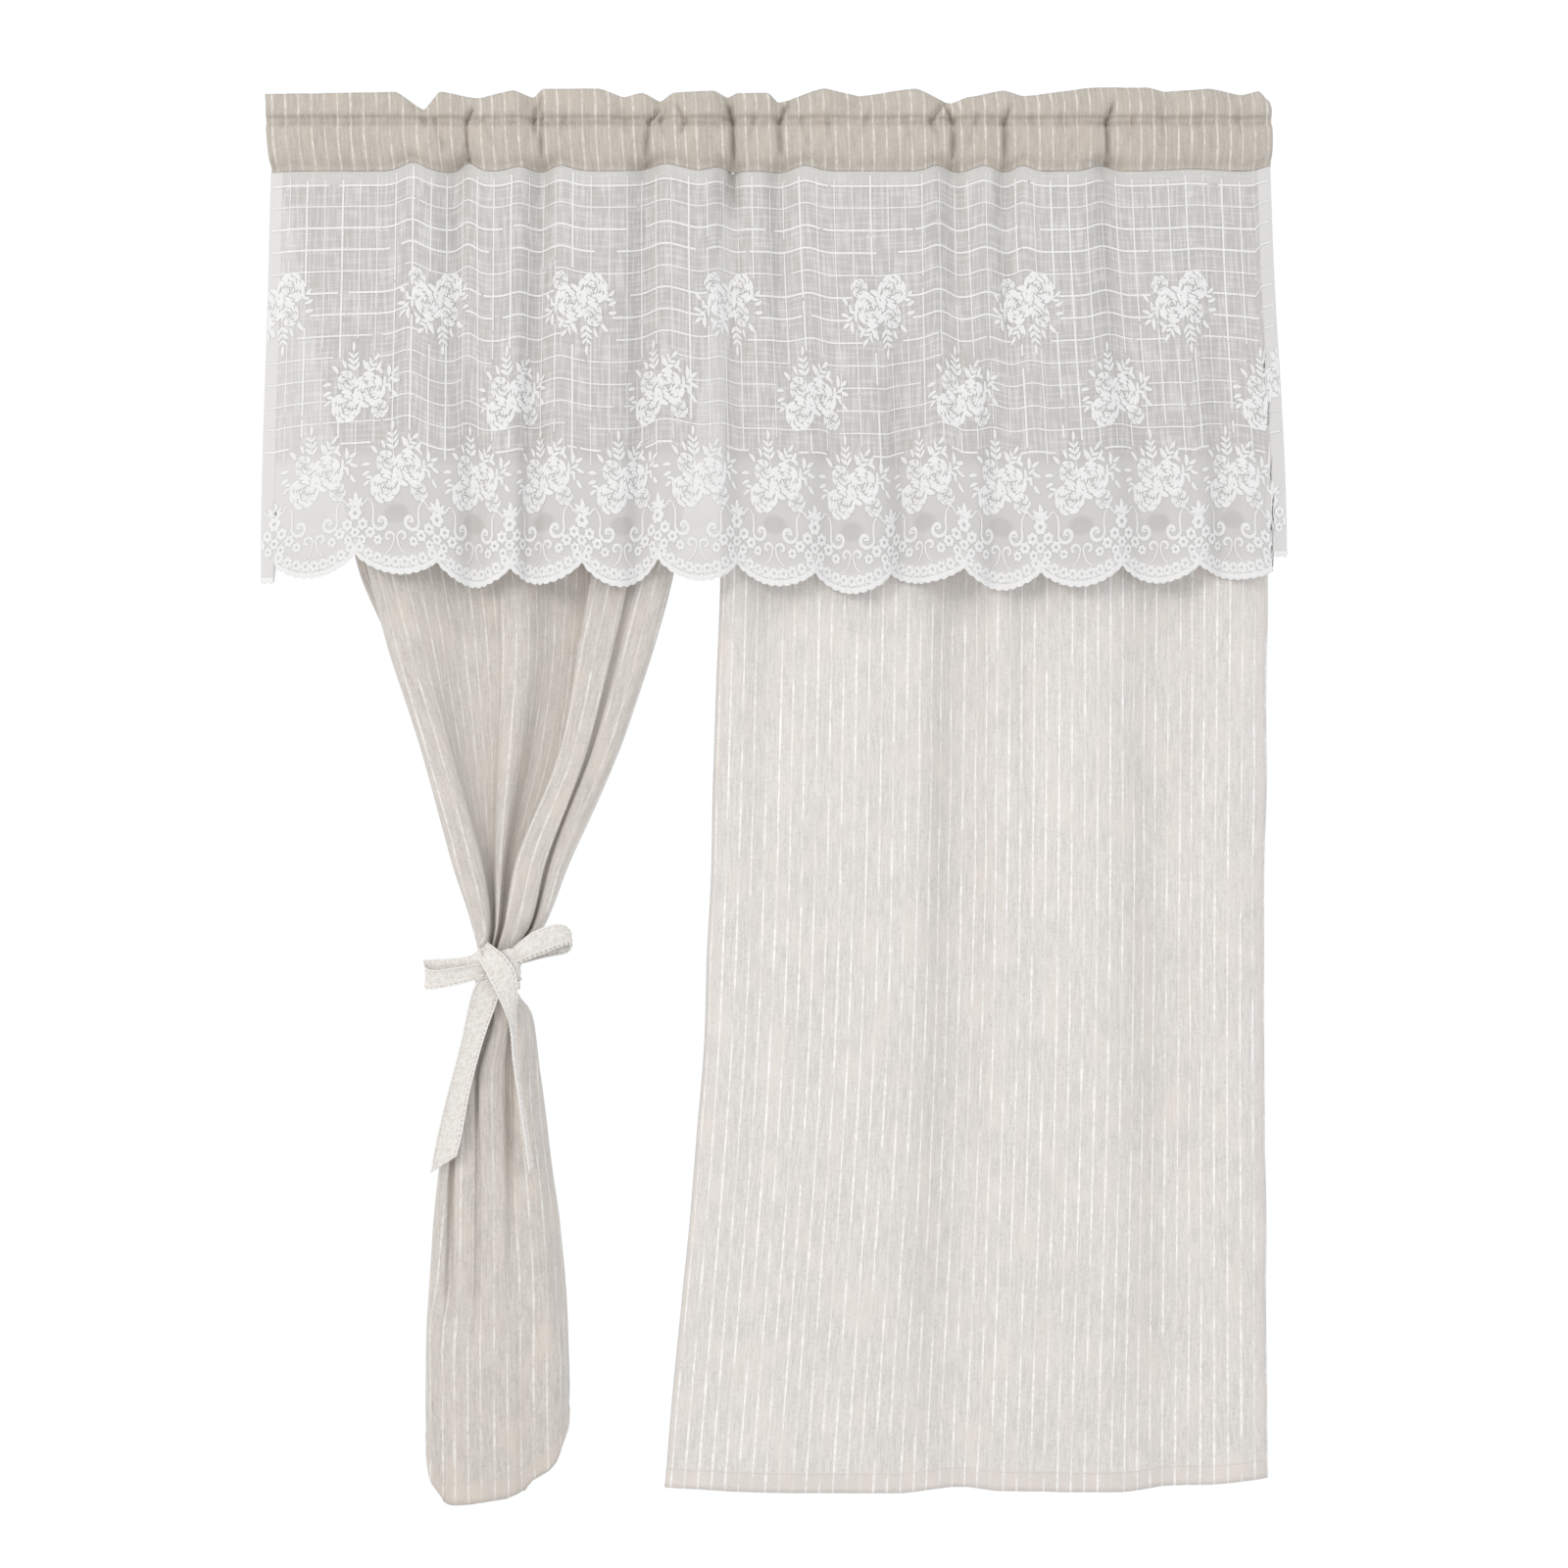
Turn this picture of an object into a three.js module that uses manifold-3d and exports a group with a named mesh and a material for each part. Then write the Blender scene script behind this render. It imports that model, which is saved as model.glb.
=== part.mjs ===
// A cafe curtain: a gathered linen heading with a rod pocket, two linen panels under it,
// the left one tied back with a bow, and a scalloped lace valance in front.
// Millimetres, +Z up, the front faces -Y. The origin is the middle of the rod pocket.
import * as THREE from "three";
import { mergeVertices } from "three/addons/utils/BufferGeometryUtils.js";
import Module from "manifold-3d";

// Cloth thickness: one layer of linen, the lace, the doubled ruffle, the pocket's wall and the tie.
const LINEN = 1.2;
const LACE = 1.1;
const RUFFLE = 2.2;
const POCKET_WALL = 1.6;
const TIE_CLOTH = 1.6;
// Bottom hems are turned up this far and are thicker by this much.
const HEM_DEPTH = 21;
const HEM_EXTRA = 0.8;

// The heading, from the stitch line above the pocket down to the seam that takes the cloth below.
const STITCH_Z = 28;
const SEAM_Z = -24;
const SEAM_TOP_Z = -19.5;
const SEAM_FRONT = 3.4;
const SEAM_BACK = 2.2;
// Half the depth of the pocket at its upper turn, its belly and its lower turn, and their heights.
const POCKET = [
  { z: 17, front: 13, back: 12.5 },
  { z: 4, front: 15.5, back: 14.5 },
  { z: -11, front: 13.5, back: 13 },
];
// How far the pocket's walls follow the gathers, against the seam below.
const POCKET_FOLLOW = 0.26;
// The hollow's upper and lower lines: their share of the wave, and the cloth over and under them.
const HOLLOW_FOLLOW = 0.5;
const HOLLOW_ROOF = 3.5;
const HOLLOW_FLOOR = 2.2;
const HEADING_LEFT = { top: -513, stitch: -512, seam: -507 };
const HEADING_RIGHT = { top: 511, stitch: 513, seam: 512 };
// Stations closer together than this are left out.
const STATION_LEAST = 9;

// The lace hangs this far in front of the gathering line at the seam, the panels this far behind it.
const LACE_SEAM_Y = -2.7;
const PANEL_SEAM_Y = 1.1;
// Just under the seam the lace swings forward by this much more, over this height.
const LACE_CLEAR = 6;
const LACE_CLEAR_HEIGHT = 50;

// The loose ruffle above the stitch line: x, height of its edge, and how far it waves back.
const RUFFLE_TURNS = [
  { x: -513, top: 55, y: -2 },
  { x: -379, top: 57, y: -4 },
  { x: -351, top: 41, y: 8 },
  { x: -333, top: 57, y: -6 },
  { x: -296, top: 52, y: 5 },
  { x: -258, top: 58, y: -7 },
  { x: -239, top: 53, y: 6 },
  { x: -228, top: 60, y: -5 },
  { x: -171, top: 60, y: -6 },
  { x: -146, top: 53, y: 5 },
  { x: -127, top: 56, y: -4 },
  { x: -109, top: 49, y: 7 },
  { x: -95, top: 56, y: -5 },
  { x: -54, top: 58, y: -6 },
  { x: -40, top: 53, y: 7 },
  { x: -30, top: 56, y: -3 },
  { x: 1, top: 56, y: -4 },
  { x: 12, top: 48, y: 7 },
  { x: 58, top: 60, y: -7 },
  { x: 94, top: 54, y: 3 },
  { x: 152, top: 60, y: -6 },
  { x: 188, top: 47, y: 8 },
  { x: 206, top: 52, y: -2 },
  { x: 241, top: 58, y: -6 },
  { x: 262, top: 54, y: 3 },
  { x: 336, top: 61, y: -6 },
  { x: 388, top: 61, y: -6 },
  { x: 406, top: 58, y: 2 },
  { x: 451, top: 60, y: -5 },
  { x: 485, top: 55, y: 3 },
  { x: 502, top: 58, y: -3 },
  { x: 513, top: 48, y: 1 },
];
// Share of the ruffle's wave that is left at the stitch line, and of the seam's gathers.
const STITCH_FROM_RUFFLE = 0.45;
const STITCH_FROM_SEAM = 0.25;

// The tied left panel. Each row is one level. A loose edge and the turn beside it are [x, y].
// The folds a, c, b and e that face the room, from left to right, and the floors of the tucks
// ta, tc and tb between them are [left, right, y].
const TIED_LEVELS = [
  { z: -24.4, edge: [-500, 2], turn: [-494, -2], a: [-484, -342, -6], ta: [-319, -315, 9],
    c: [-297, -252, -6], tc: [-233, -229, 9], b: [-211, -145, -7], tb: [-126, -122, 8],
    e: [-103, -58, -6], turnE: [-46, 3], edgeE: [-38, 7] },
  { z: -230, edge: [-454, 7], turn: [-459, 0], a: [-451, -336, -10], ta: [-318, -304, 26],
    c: [-288, -246, -8], tc: [-230, -214, 26], b: [-196, -146, -10], tb: [-131, -127, 20],
    e: [-112, -76, -8], turnE: [-65, 2], edgeE: [-64, 10] },
  { z: -423, edge: [-421, 8], turn: [-415, -3], a: [-408, -322, -11], ta: [-314, -282, 30],
    c: [-276, -230, -7], tc: [-221, -190, 30], b: [-182, -138, -11], tb: [-134, -130, 21],
    e: [-124, -100, -8], turnE: [-92, 2], edgeE: [-94, 11] },
  { z: -508, edge: [-384, 12], turn: [-388, 2], a: [-382, -318, -14], ta: [-312, -280, 31],
    c: [-276, -236, -9], tc: [-230, -204, 31], b: [-196, -156, -14], tb: [-151, -148, 21],
    e: [-143, -122, -11], turnE: [-116, 1], edgeE: [-120, 12] },
  { z: -608, edge: [-350, 14], turn: [-357, 3], a: [-352, -314, -18], ta: [-309, -279, 31],
    c: [-275, -254, -12], tc: [-246, -222, 31], b: [-214, -181, -18], tb: [-176, -173, 20],
    e: [-169, -154, -14], turnE: [-149, 2], edgeE: [-155, 14] },
  { z: -728, edge: [-314, 18], turn: [-324, 7], a: [-319, -292, -21], ta: [-289, -281, 25],
    c: [-278, -270, -15], tc: [-267, -261, 25], b: [-257, -221, -22], tb: [-218, -215, 19],
    e: [-212, -207, -17], turnE: [-202, 5], edgeE: [-209, 17] },
  { z: -791, edge: [-293, 21], turn: [-303, 10], a: [-299, -284, -21], ta: [-282.5, -279.5, 20],
    c: [-277.5, -274.5, -15], tc: [-272.5, -269.5, 20], b: [-267, -241, -23],
    tb: [-238.5, -235.7, 15], e: [-233.5, -230.5, -18], turnE: [-227.5, 10], edgeE: [-238, 21] },
  { z: -830, edge: [-283, 21], turn: [-294.5, 13], a: [-292, -286.4, -20], ta: [-286.4, -283.6, 15],
    c: [-283.6, -280.8, -12], tc: [-280.8, -278, 16], b: [-278, -266, -22], tb: [-266, -263.2, 15],
    e: [-263.2, -260, -18], turnE: [-257.5, 13], edgeE: [-270, 21] },
  { z: -860, edge: [-283, 21], turn: [-294.5, 13], a: [-292, -286.4, -20], ta: [-286.4, -283.6, 15],
    c: [-283.6, -280.8, -12], tc: [-280.8, -278, 16], b: [-278, -266, -22], tb: [-266, -263.2, 15],
    e: [-263.2, -260, -18], turnE: [-257.5, 13], edgeE: [-270, 21] },
  { z: -882, edge: [-289, 20], turn: [-300, 11], a: [-297, -291, -21], ta: [-290, -287, 14],
    c: [-286.5, -283.5, -13], tc: [-282.5, -279.5, 15], b: [-277, -264, -24], tb: [-262, -259, 14],
    e: [-257, -247, -19], turnE: [-242, 9], edgeE: [-256, 21] },
  { z: -948, edge: [-305, 18], turn: [-317, 8], a: [-314, -309, -22], ta: [-307, -304, 9],
    c: [-302, -299, -20], tc: [-296.5, -293.5, 12], b: [-291, -268, -26], tb: [-264, -259, 11],
    e: [-254, -235, -20], turnE: [-230, 7], edgeE: [-246, 21] },
  { z: -1038, edge: [-285, 9], turn: [-336, 4], a: [-333, -325, -22], ta: [-322.5, -319.5, -5],
    c: [-317, -299, -24], tc: [-296, -293, -4], b: [-290, -267, -28], tb: [-263, -260, -14],
    e: [-255, -224, -24], turnE: [-218, 8], edgeE: [-270, 23] },
  { z: -1148, edge: [-236, 5], turn: [-346, 3], a: [-341, -328, -23], ta: [-325, -322, -19],
    c: [-318, -301, -26], tc: [-297, -293, -22], b: [-288, -267, -29], tb: [-263, -259, -25],
    e: [-252, -214, -25], turnE: [-205, 8], edgeE: [-318, 25] },
  { z: -1248, edge: [-226, 4], turn: [-350, 2], a: [-345, -330, -25], ta: [-327, -323, -27],
    c: [-318, -302, -30], tc: [-298, -294, -31], b: [-288, -267, -32], tb: [-262, -257, -31],
    e: [-248, -212, -26], turnE: [-202, 5], edgeE: [-326, 25] },
  { z: -1379, edge: [-230, 2], turn: [-349, 2], a: [-343, -328, -22], ta: [-325, -321, -24],
    c: [-316, -301, -26], tc: [-297, -293, -27], b: [-287, -266, -28], tb: [-261, -256, -27],
    e: [-248, -214, -23], turnE: [-203, 3], edgeE: [-320, 22] },
];
// How far the tied panel's hem is drawn up at each corner of its section, and where that begins.
const TIED_HEM_RISE = [70, 54, 26, 3, 0, 0, 0, 1, 2, 3, 4, 7, 9, 11, 16, 45, 90, 95];
const TIED_RISE_FROM = -1000;
const TIED_HEM_Z = -1379;
// Heights of the tied panel's rows.
const TIED_ROWS = [-24.4, -120, -230, -330, -423, -508, -608, -670, -728, -760, -791, -812,
  -830, -860, -882, -912, -948, -990, -1038, -1092, -1148, -1200, -1248, -1310];

// The free right panel, a row for each level: loose edges [x, y], folds and tucks [left, right, y].
const FREE_LEVELS = [
  { z: -24.4, edge: [-34, 7], f1: [-24, -4, -5], t1: [9, 13, 7], f2: [34, 165, -6],
    t2: [187, 191, 8], f3: [205, 228, -5], t3: [239, 243, 6], f4: [260, 327, -6], t4: [344, 348, 7],
    f5: [370, 490, -6], edgeE: [510, -2] },
  { z: -423, edge: [-48, 4], f1: [-40, -22, -8], t1: [4, 12, 2], f2: [40, 160, -10],
    t2: [192, 206, 12], f3: [226, 244, -8], t3: [258, 266, -1], f4: [290, 352, -10],
    t4: [392, 416, 9], f5: [446, 494, -10], edgeE: [509, -4] },
  { z: -850, edge: [-63, 0], f1: [-54, -34, -10], t1: [-14, -4, -6], f2: [30, 150, -13],
    t2: [190, 208, 13], f3: [236, 252, -10], t3: [268, 276, -9], f4: [296, 360, -12],
    t4: [396, 422, 11], f5: [450, 492, -11], edgeE: [506, -4] },
  { z: -1370, edge: [-106, -4], f1: [-98, -72, -8], t1: [-50, -40, -8], f2: [0, 140, -11],
    t2: [186, 204, 6], f3: [232, 250, -8], t3: [268, 278, -10], f4: [300, 364, -11],
    t4: [400, 420, 4], f5: [448, 490, -10], edgeE: [509, -4] },
];
const FREE_HEM_RISE = [5, 5, 4, 3, 2, 1, 0, 4, 4, 2, 2, 2, 2, 1, 1, 5, 6, 9, 13, 15];
const FREE_RISE_FROM = -1100;
const FREE_HEM_Z = -1370;
const FREE_ROWS = [-24.4, -110, -210, -320, -423, -540, -690, -850, -1010, -1180, -1300];

// The lace valance at its lower edge: where its folds turn.
const LACE_TURNS = [
  { x: -516, y: -13 }, { x: -498, y: -20 }, { x: -440, y: -26 }, { x: -345, y: -31 },
  { x: -318, y: -27 },
  { x: -303, y: -13 }, { x: -296, y: -12 }, { x: -280, y: -26 }, { x: -256, y: -30 }, { x: -246, y: -16 },
  { x: -238, y: -14 }, { x: -224, y: -28 }, { x: -150, y: -32 }, { x: -134, y: -18 }, { x: -126, y: -17 },
  { x: -108, y: -30 }, { x: -50, y: -32 }, { x: -28, y: -17 }, { x: -18, y: -17 }, { x: 6, y: -31 },
  { x: 40, y: -30 }, { x: 62, y: -18 }, { x: 72, y: -18 }, { x: 94, y: -32 }, { x: 118, y: -30 },
  { x: 136, y: -14 }, { x: 146, y: -14 }, { x: 164, y: -31 }, { x: 212, y: -29 }, { x: 228, y: -17 },
  { x: 238, y: -17 }, { x: 260, y: -31 }, { x: 350, y: -31 }, { x: 378, y: -16 }, { x: 392, y: -16 },
  { x: 412, y: -30 }, { x: 442, y: -30 }, { x: 460, y: -15 }, { x: 468, y: -15 }, { x: 486, y: -27 },
  { x: 527, y: -17 },
];
// Each scallop: the height of its lowest point and of the cusp on its right.
const SCALLOPS = [
  { low: -441, cusp: -415 }, { low: -434, cusp: -421 }, { low: -447, cusp: -427 }, { low: -444, cusp: -421 },
  { low: -447, cusp: -417 }, { low: -441, cusp: -422 }, { low: -446, cusp: -431 }, { low: -454, cusp: -433 },
  { low: -443, cusp: -427 }, { low: -450, cusp: -431 }, { low: -447, cusp: -424 }, { low: -443, cusp: -424 },
  { low: -439, cusp: -430 },
];
const SCALLOP_STEPS = 4;
// Columns closer together than this share of the lace's width are left out.
const LACE_COLUMN_LEAST = 0.0032;
const LACE_SIDE_HEM = 18;
const LACE_LEFT_CORNER_Z = -444;
const LACE_RIGHT_CORNER_Z = -416;
const LACE_SCALLOP = 96;
// Heights of the lace's rows above its scallops, and how the seam's gathers give way to the lower folds.
const LACE_ROWS = [-24.4, -42, -75, -120, -180, -240, -305, -370];
const LACE_BLEND_END = -420;
// A scallop is this much fuller than a half wave: under 1 is fuller.
const SCALLOP_FULLNESS = 0.7;

// The tie: a band round the waist of the tied panel, its knot, two loops and two free ends.
const BAND = { x: -276, y: 0.4, halfWidth: 20.6, halfDepth: 23.8, top: -834, low: -857 };
// The band's outline lies between a circle, power 2, and a rectangle.
const BAND_POWER = 3;
const BAND_STEPS = 28;
const KNOT = { x: -272, y: -31.5, z: -838, halfWidth: 19, halfDepth: 9.5, halfHeight: 15 };
const KNOT_AROUND = 14;
const KNOT_UP = 9;
// Each row is one station of a ribbon: one edge and the other as x, y, z.
const LEFT_LOOP = [
  { one: [-284, -33, -831], two: [-284, -33, -843] },
  { one: [-298, -36, -829], two: [-298, -36, -847] },
  { one: [-318, -39, -828], two: [-318, -39, -852] },
  { one: [-340, -39, -828], two: [-340, -39, -856] },
  { one: [-350, -36.5, -828], two: [-350, -36.5, -857.5] },
  { one: [-353, -32.5, -828], two: [-353, -32.5, -857.5] },
  { one: [-349, -29, -828], two: [-349, -29, -856] },
  { one: [-325, -29, -829], two: [-325, -29, -852] },
  { one: [-302, -30.5, -831], two: [-302, -30.5, -847] },
  { one: [-286, -32, -832], two: [-286, -32, -843] },
];
const RIGHT_LOOP = [
  { one: [-266, -34, -822], two: [-262, -34, -834] },
  { one: [-252, -37, -806], two: [-246, -37, -829] },
  { one: [-234, -39, -796], two: [-226, -39, -824] },
  { one: [-216, -38, -791], two: [-211, -38, -818] },
  { one: [-206, -35, -793], two: [-203, -35, -814] },
  { one: [-203, -31, -798], two: [-201, -31, -816] },
  { one: [-209, -28.5, -800], two: [-206, -28.5, -821] },
  { one: [-230, -29, -805], two: [-226, -29, -828] },
  { one: [-250, -31, -812], two: [-246, -31, -833] },
  { one: [-266, -33, -826], two: [-263, -33, -838] },
];
const LEFT_END = [
  { one: [-290, -34, -840], two: [-272, -34, -850] },
  { one: [-301, -33, -862], two: [-278, -33, -872] },
  { one: [-312, -32, -912], two: [-291, -33, -908] },
  { one: [-326, -32, -966], two: [-303, -34, -956] },
  { one: [-337, -31, -1012], two: [-312, -34, -1005] },
  { one: [-343, -30, -1040], two: [-316, -34, -1027] },
];
const RIGHT_END = [
  { one: [-284, -37, -836], two: [-258, -34, -838] },
  { one: [-276, -37, -858], two: [-257, -32, -860] },
  { one: [-268, -41, -878], two: [-257, -31, -880] },
  { one: [-262, -49, -900], two: [-258, -30, -900] },
  { one: [-259, -53, -932], two: [-257, -30, -932] },
  { one: [-252, -54, -980], two: [-251, -31, -980] },
  { one: [-245, -54, -1043], two: [-244, -31, -1040] },
];

// A corner is rounded over this share of the cloth beside it, up to this length.
const ROUND_SHARE = 0.66;
const ROUND_MOST = 26;
// Short lines round each corner, in the tied panel, the free panel and the gathers.
const TIED_STEPS = 2;
const FREE_STEPS = 1;
const GATHER_STEPS = 6;
// Where two lines of a section meet sharply, their shared offset grows no more than 1 over this.
const SHARPEST = 0.7;
// The corner numbers of a rounding stay this share short of the next one's, so that they rise.
const NUMBER_SPAN = 0.98;
// The hem's thickness begins over this height.
const HEM_STEP = 2;

const wasm = await Module();
wasm.setup();

// The section's corners at one level, from the named folds of a row.
function cornersOf(level) {
  return Object.entries(level).flatMap(([name, spot]) => {
    if (name === "z") return [];
    return spot.length === 2 ? [[...spot]] : [[spot[0], spot[2]], [spot[1], spot[2]]];
  });
}

// A smooth curve without overshoot through values at falling heights, read at height z.
function readAt(heights, values, z) {
  const last = heights.length - 1;
  let k = 0;
  while (k < last - 1 && z < heights[k + 1]) k += 1;
  const slope = (i) => (values[i + 1] - values[i]) / (heights[i + 1] - heights[i]);
  const tangent = (i) => {
    if (i <= 0) return slope(0);
    if (i >= last) return slope(last - 1);
    const [a, b] = [slope(i - 1), slope(i)];
    return a * b <= 0 ? 0 : (2 * a * b) / (a + b);
  };
  const step = heights[k + 1] - heights[k];
  const t = THREE.MathUtils.clamp((z - heights[k]) / step, 0, 1);
  const [t2, t3] = [t * t, t * t * t];
  return (
    (2 * t3 - 3 * t2 + 1) * values[k] +
    (t3 - 2 * t2 + t) * step * tangent(k) +
    (3 * t2 - 2 * t3) * values[k + 1] +
    (t3 - t2) * step * tangent(k + 1)
  );
}

// The points of a line with rounded corners: `steps` short lines go round each corner.
// Each point has a corner number with a fraction, so that columns line up from row to row.
function roundedLine(corners, steps) {
  const toward = (from, to) => {
    const length = Math.hypot(to[0] - from[0], to[1] - from[1]);
    const reach = Math.min((ROUND_SHARE * length) / 2, ROUND_MOST) / Math.max(length, 1e-6);
    return [from[0] + (to[0] - from[0]) * reach, from[1] + (to[1] - from[1]) * reach];
  };
  const points = [{ x: corners[0][0], y: corners[0][1], corner: 0 }];
  for (let i = 1; i < corners.length - 1; i += 1) {
    const start = toward(corners[i], corners[i - 1]);
    const end = toward(corners[i], corners[i + 1]);
    for (let s = 0; s <= steps; s += 1) {
      const t = s / steps;
      const [a, b, c] = [(1 - t) * (1 - t), 2 * t * (1 - t), t * t];
      points.push({
        x: a * start[0] + b * corners[i][0] + c * end[0],
        y: a * start[1] + b * corners[i][1] + c * end[1],
        corner: i - 0.5 + t * NUMBER_SPAN,
        middle: 2 * s === steps,
      });
    }
  }
  const last = corners.length - 1;
  points.push({ x: corners[last][0], y: corners[last][1], corner: last });
  return points;
}

// Shifts a section's points along its own normals: forwards for a positive distance.
function offsetSection(points, distance) {
  return points.map((p, i) => {
    const before = points[Math.max(i - 1, 0)];
    const after = points[Math.min(i + 1, points.length - 1)];
    const normals = [[before, p], [p, after]]
      .map(([a, b]) => [b.y - a.y, a.x - b.x])
      .filter(([nx, ny]) => Math.hypot(nx, ny) > 1e-6)
      .map(([nx, ny]) => new THREE.Vector2(nx, ny).normalize());
    const middle = normals.reduce((sum, n) => sum.add(n), new THREE.Vector2()).normalize();
    const reach = distance / Math.max(middle.dot(normals[0]), SHARPEST);
    return new THREE.Vector3(p.x + middle.x * reach, p.y + middle.y * reach, p.z);
  });
}

// A closed geometry from vertices and faces, both flat lists.
function closedGeometry(vertices, faces) {
  const geometry = new THREE.BufferGeometry();
  geometry.setAttribute("position", new THREE.BufferAttribute(new Float32Array(vertices), 3));
  geometry.setIndex(faces);
  geometry.computeVertexNormals();
  return geometry;
}

// A sheet from rows of front points and rows of back points, closed along its four edges.
function sheetGeometry(front, back) {
  const rows = front.length;
  const columns = front[0].length;
  const end = columns - 1;
  const vertices = [...front, ...back].flat().flatMap((p) => [p.x, p.y, p.z]);
  const at = (row, column, side) => (side * rows + row) * columns + column;
  const faces = [];
  const quad = (a, b, c, d) => faces.push(a, b, c, a, c, d);
  for (let r = 0; r < rows - 1; r += 1) {
    for (let c = 0; c < columns - 1; c += 1) {
      quad(at(r, c, 0), at(r + 1, c, 0), at(r + 1, c + 1, 0), at(r, c + 1, 0));
      quad(at(r, c, 1), at(r, c + 1, 1), at(r + 1, c + 1, 1), at(r + 1, c, 1));
    }
    quad(at(r, 0, 1), at(r + 1, 0, 1), at(r + 1, 0, 0), at(r, 0, 0));
    quad(at(r, end, 0), at(r + 1, end, 0), at(r + 1, end, 1), at(r, end, 1));
  }
  for (let c = 0; c < columns - 1; c += 1) {
    quad(at(0, c, 0), at(0, c + 1, 0), at(0, c + 1, 1), at(0, c, 1));
    quad(at(rows - 1, c, 1), at(rows - 1, c + 1, 1), at(rows - 1, c + 1, 0), at(rows - 1, c, 0));
  }
  return closedGeometry(vertices, faces);
}

// A hung linen panel: its section at each row, drawn up at the hem, with the hem turned up thicker.
function panelGeometry(levels, heights, hem, steps) {
  const zs = levels.map((level) => level.z);
  const corners = levels.map(cornersOf);
  const names = corners[0].map((_, i) => i);
  const numbers = roundedLine(corners[0], steps).map((p) => p.corner);
  const riseAt = (corner) => {
    const i = THREE.MathUtils.clamp(Math.floor(corner), 0, hem.rise.length - 2);
    return THREE.MathUtils.lerp(hem.rise[i], hem.rise[i + 1], corner - i);
  };
  const sectionAt = (z) =>
    roundedLine(
      names.map((i) => [0, 1].map((axis) => readAt(zs, corners.map((row) => row[i][axis]), z))),
      steps,
    );
  const rowHeights = [...heights, hem.z + HEM_DEPTH + HEM_STEP, hem.z + HEM_DEPTH, hem.z];
  const thickness = rowHeights.map((z) => LINEN + (z <= hem.z + HEM_DEPTH ? HEM_EXTRA : 0));
  const rows = rowHeights.map((base) => {
    const drawn = THREE.MathUtils.clamp((hem.from - base) / (hem.from - hem.z), 0, 1);
    return numbers.map((corner, column) => {
      const z = base + riseAt(corner) * drawn;
      const spot = sectionAt(z)[column];
      return { x: spot.x, y: spot.y + PANEL_SEAM_Y, z };
    });
  });
  return sheetGeometry(
    rows.map((row, i) => offsetSection(row, thickness[i] / 2)),
    rows.map((row, i) => offsetSection(row, -thickness[i] / 2)),
  );
}

// The gathering line that the heading's seam, the lace and both panels share.
function gatherLine() {
  const corners = [
    [HEADING_LEFT.seam - 1, 4],
    ...cornersOf(TIED_LEVELS[0]),
    ...cornersOf(FREE_LEVELS[0]),
    [HEADING_RIGHT.seam, -1],
  ];
  return roundedLine(corners, GATHER_STEPS);
}

// The y of a line of points that runs to the right, at x.
function yAt(line, x) {
  const next = line.findIndex((p) => p.x >= x);
  if (next < 0) return line[line.length - 1].y;
  if (next === 0) return line[0].y;
  const [a, b] = [line[next - 1], line[next]];
  return THREE.MathUtils.mapLinear(x, a.x, b.x, a.y, b.y);
}

// A line's points with the length of cloth used up to each.
function measured(line) {
  let used = 0;
  return line.map((p, i) => {
    if (i > 0) used += Math.hypot(p.x - line[i - 1].x, p.y - line[i - 1].y);
    return { ...p, used };
  });
}

// The spot on a measured line at a share of its length.
function spotAt(line, share) {
  const wanted = share * line[line.length - 1].used;
  const next = Math.max(line.findIndex((p) => p.used >= wanted - 1e-9), 1);
  const [a, b] = [line[next - 1], line[next]];
  const t = (wanted - a.used) / (b.used - a.used);
  return { x: THREE.MathUtils.lerp(a.x, b.x, t), y: THREE.MathUtils.lerp(a.y, b.y, t) };
}

// The ruffle's edge height and wave at x, eased from turn to turn.
function ruffleAt(x) {
  const next = THREE.MathUtils.clamp(RUFFLE_TURNS.findIndex((r) => r.x >= x), 1, RUFFLE_TURNS.length - 1);
  const [a, b] = [RUFFLE_TURNS[next - 1], RUFFLE_TURNS[next]];
  const t = THREE.MathUtils.smoothstep(x, a.x, b.x);
  return { top: THREE.MathUtils.lerp(a.top, b.top, t), y: THREE.MathUtils.lerp(a.y, b.y, t) };
}

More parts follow.
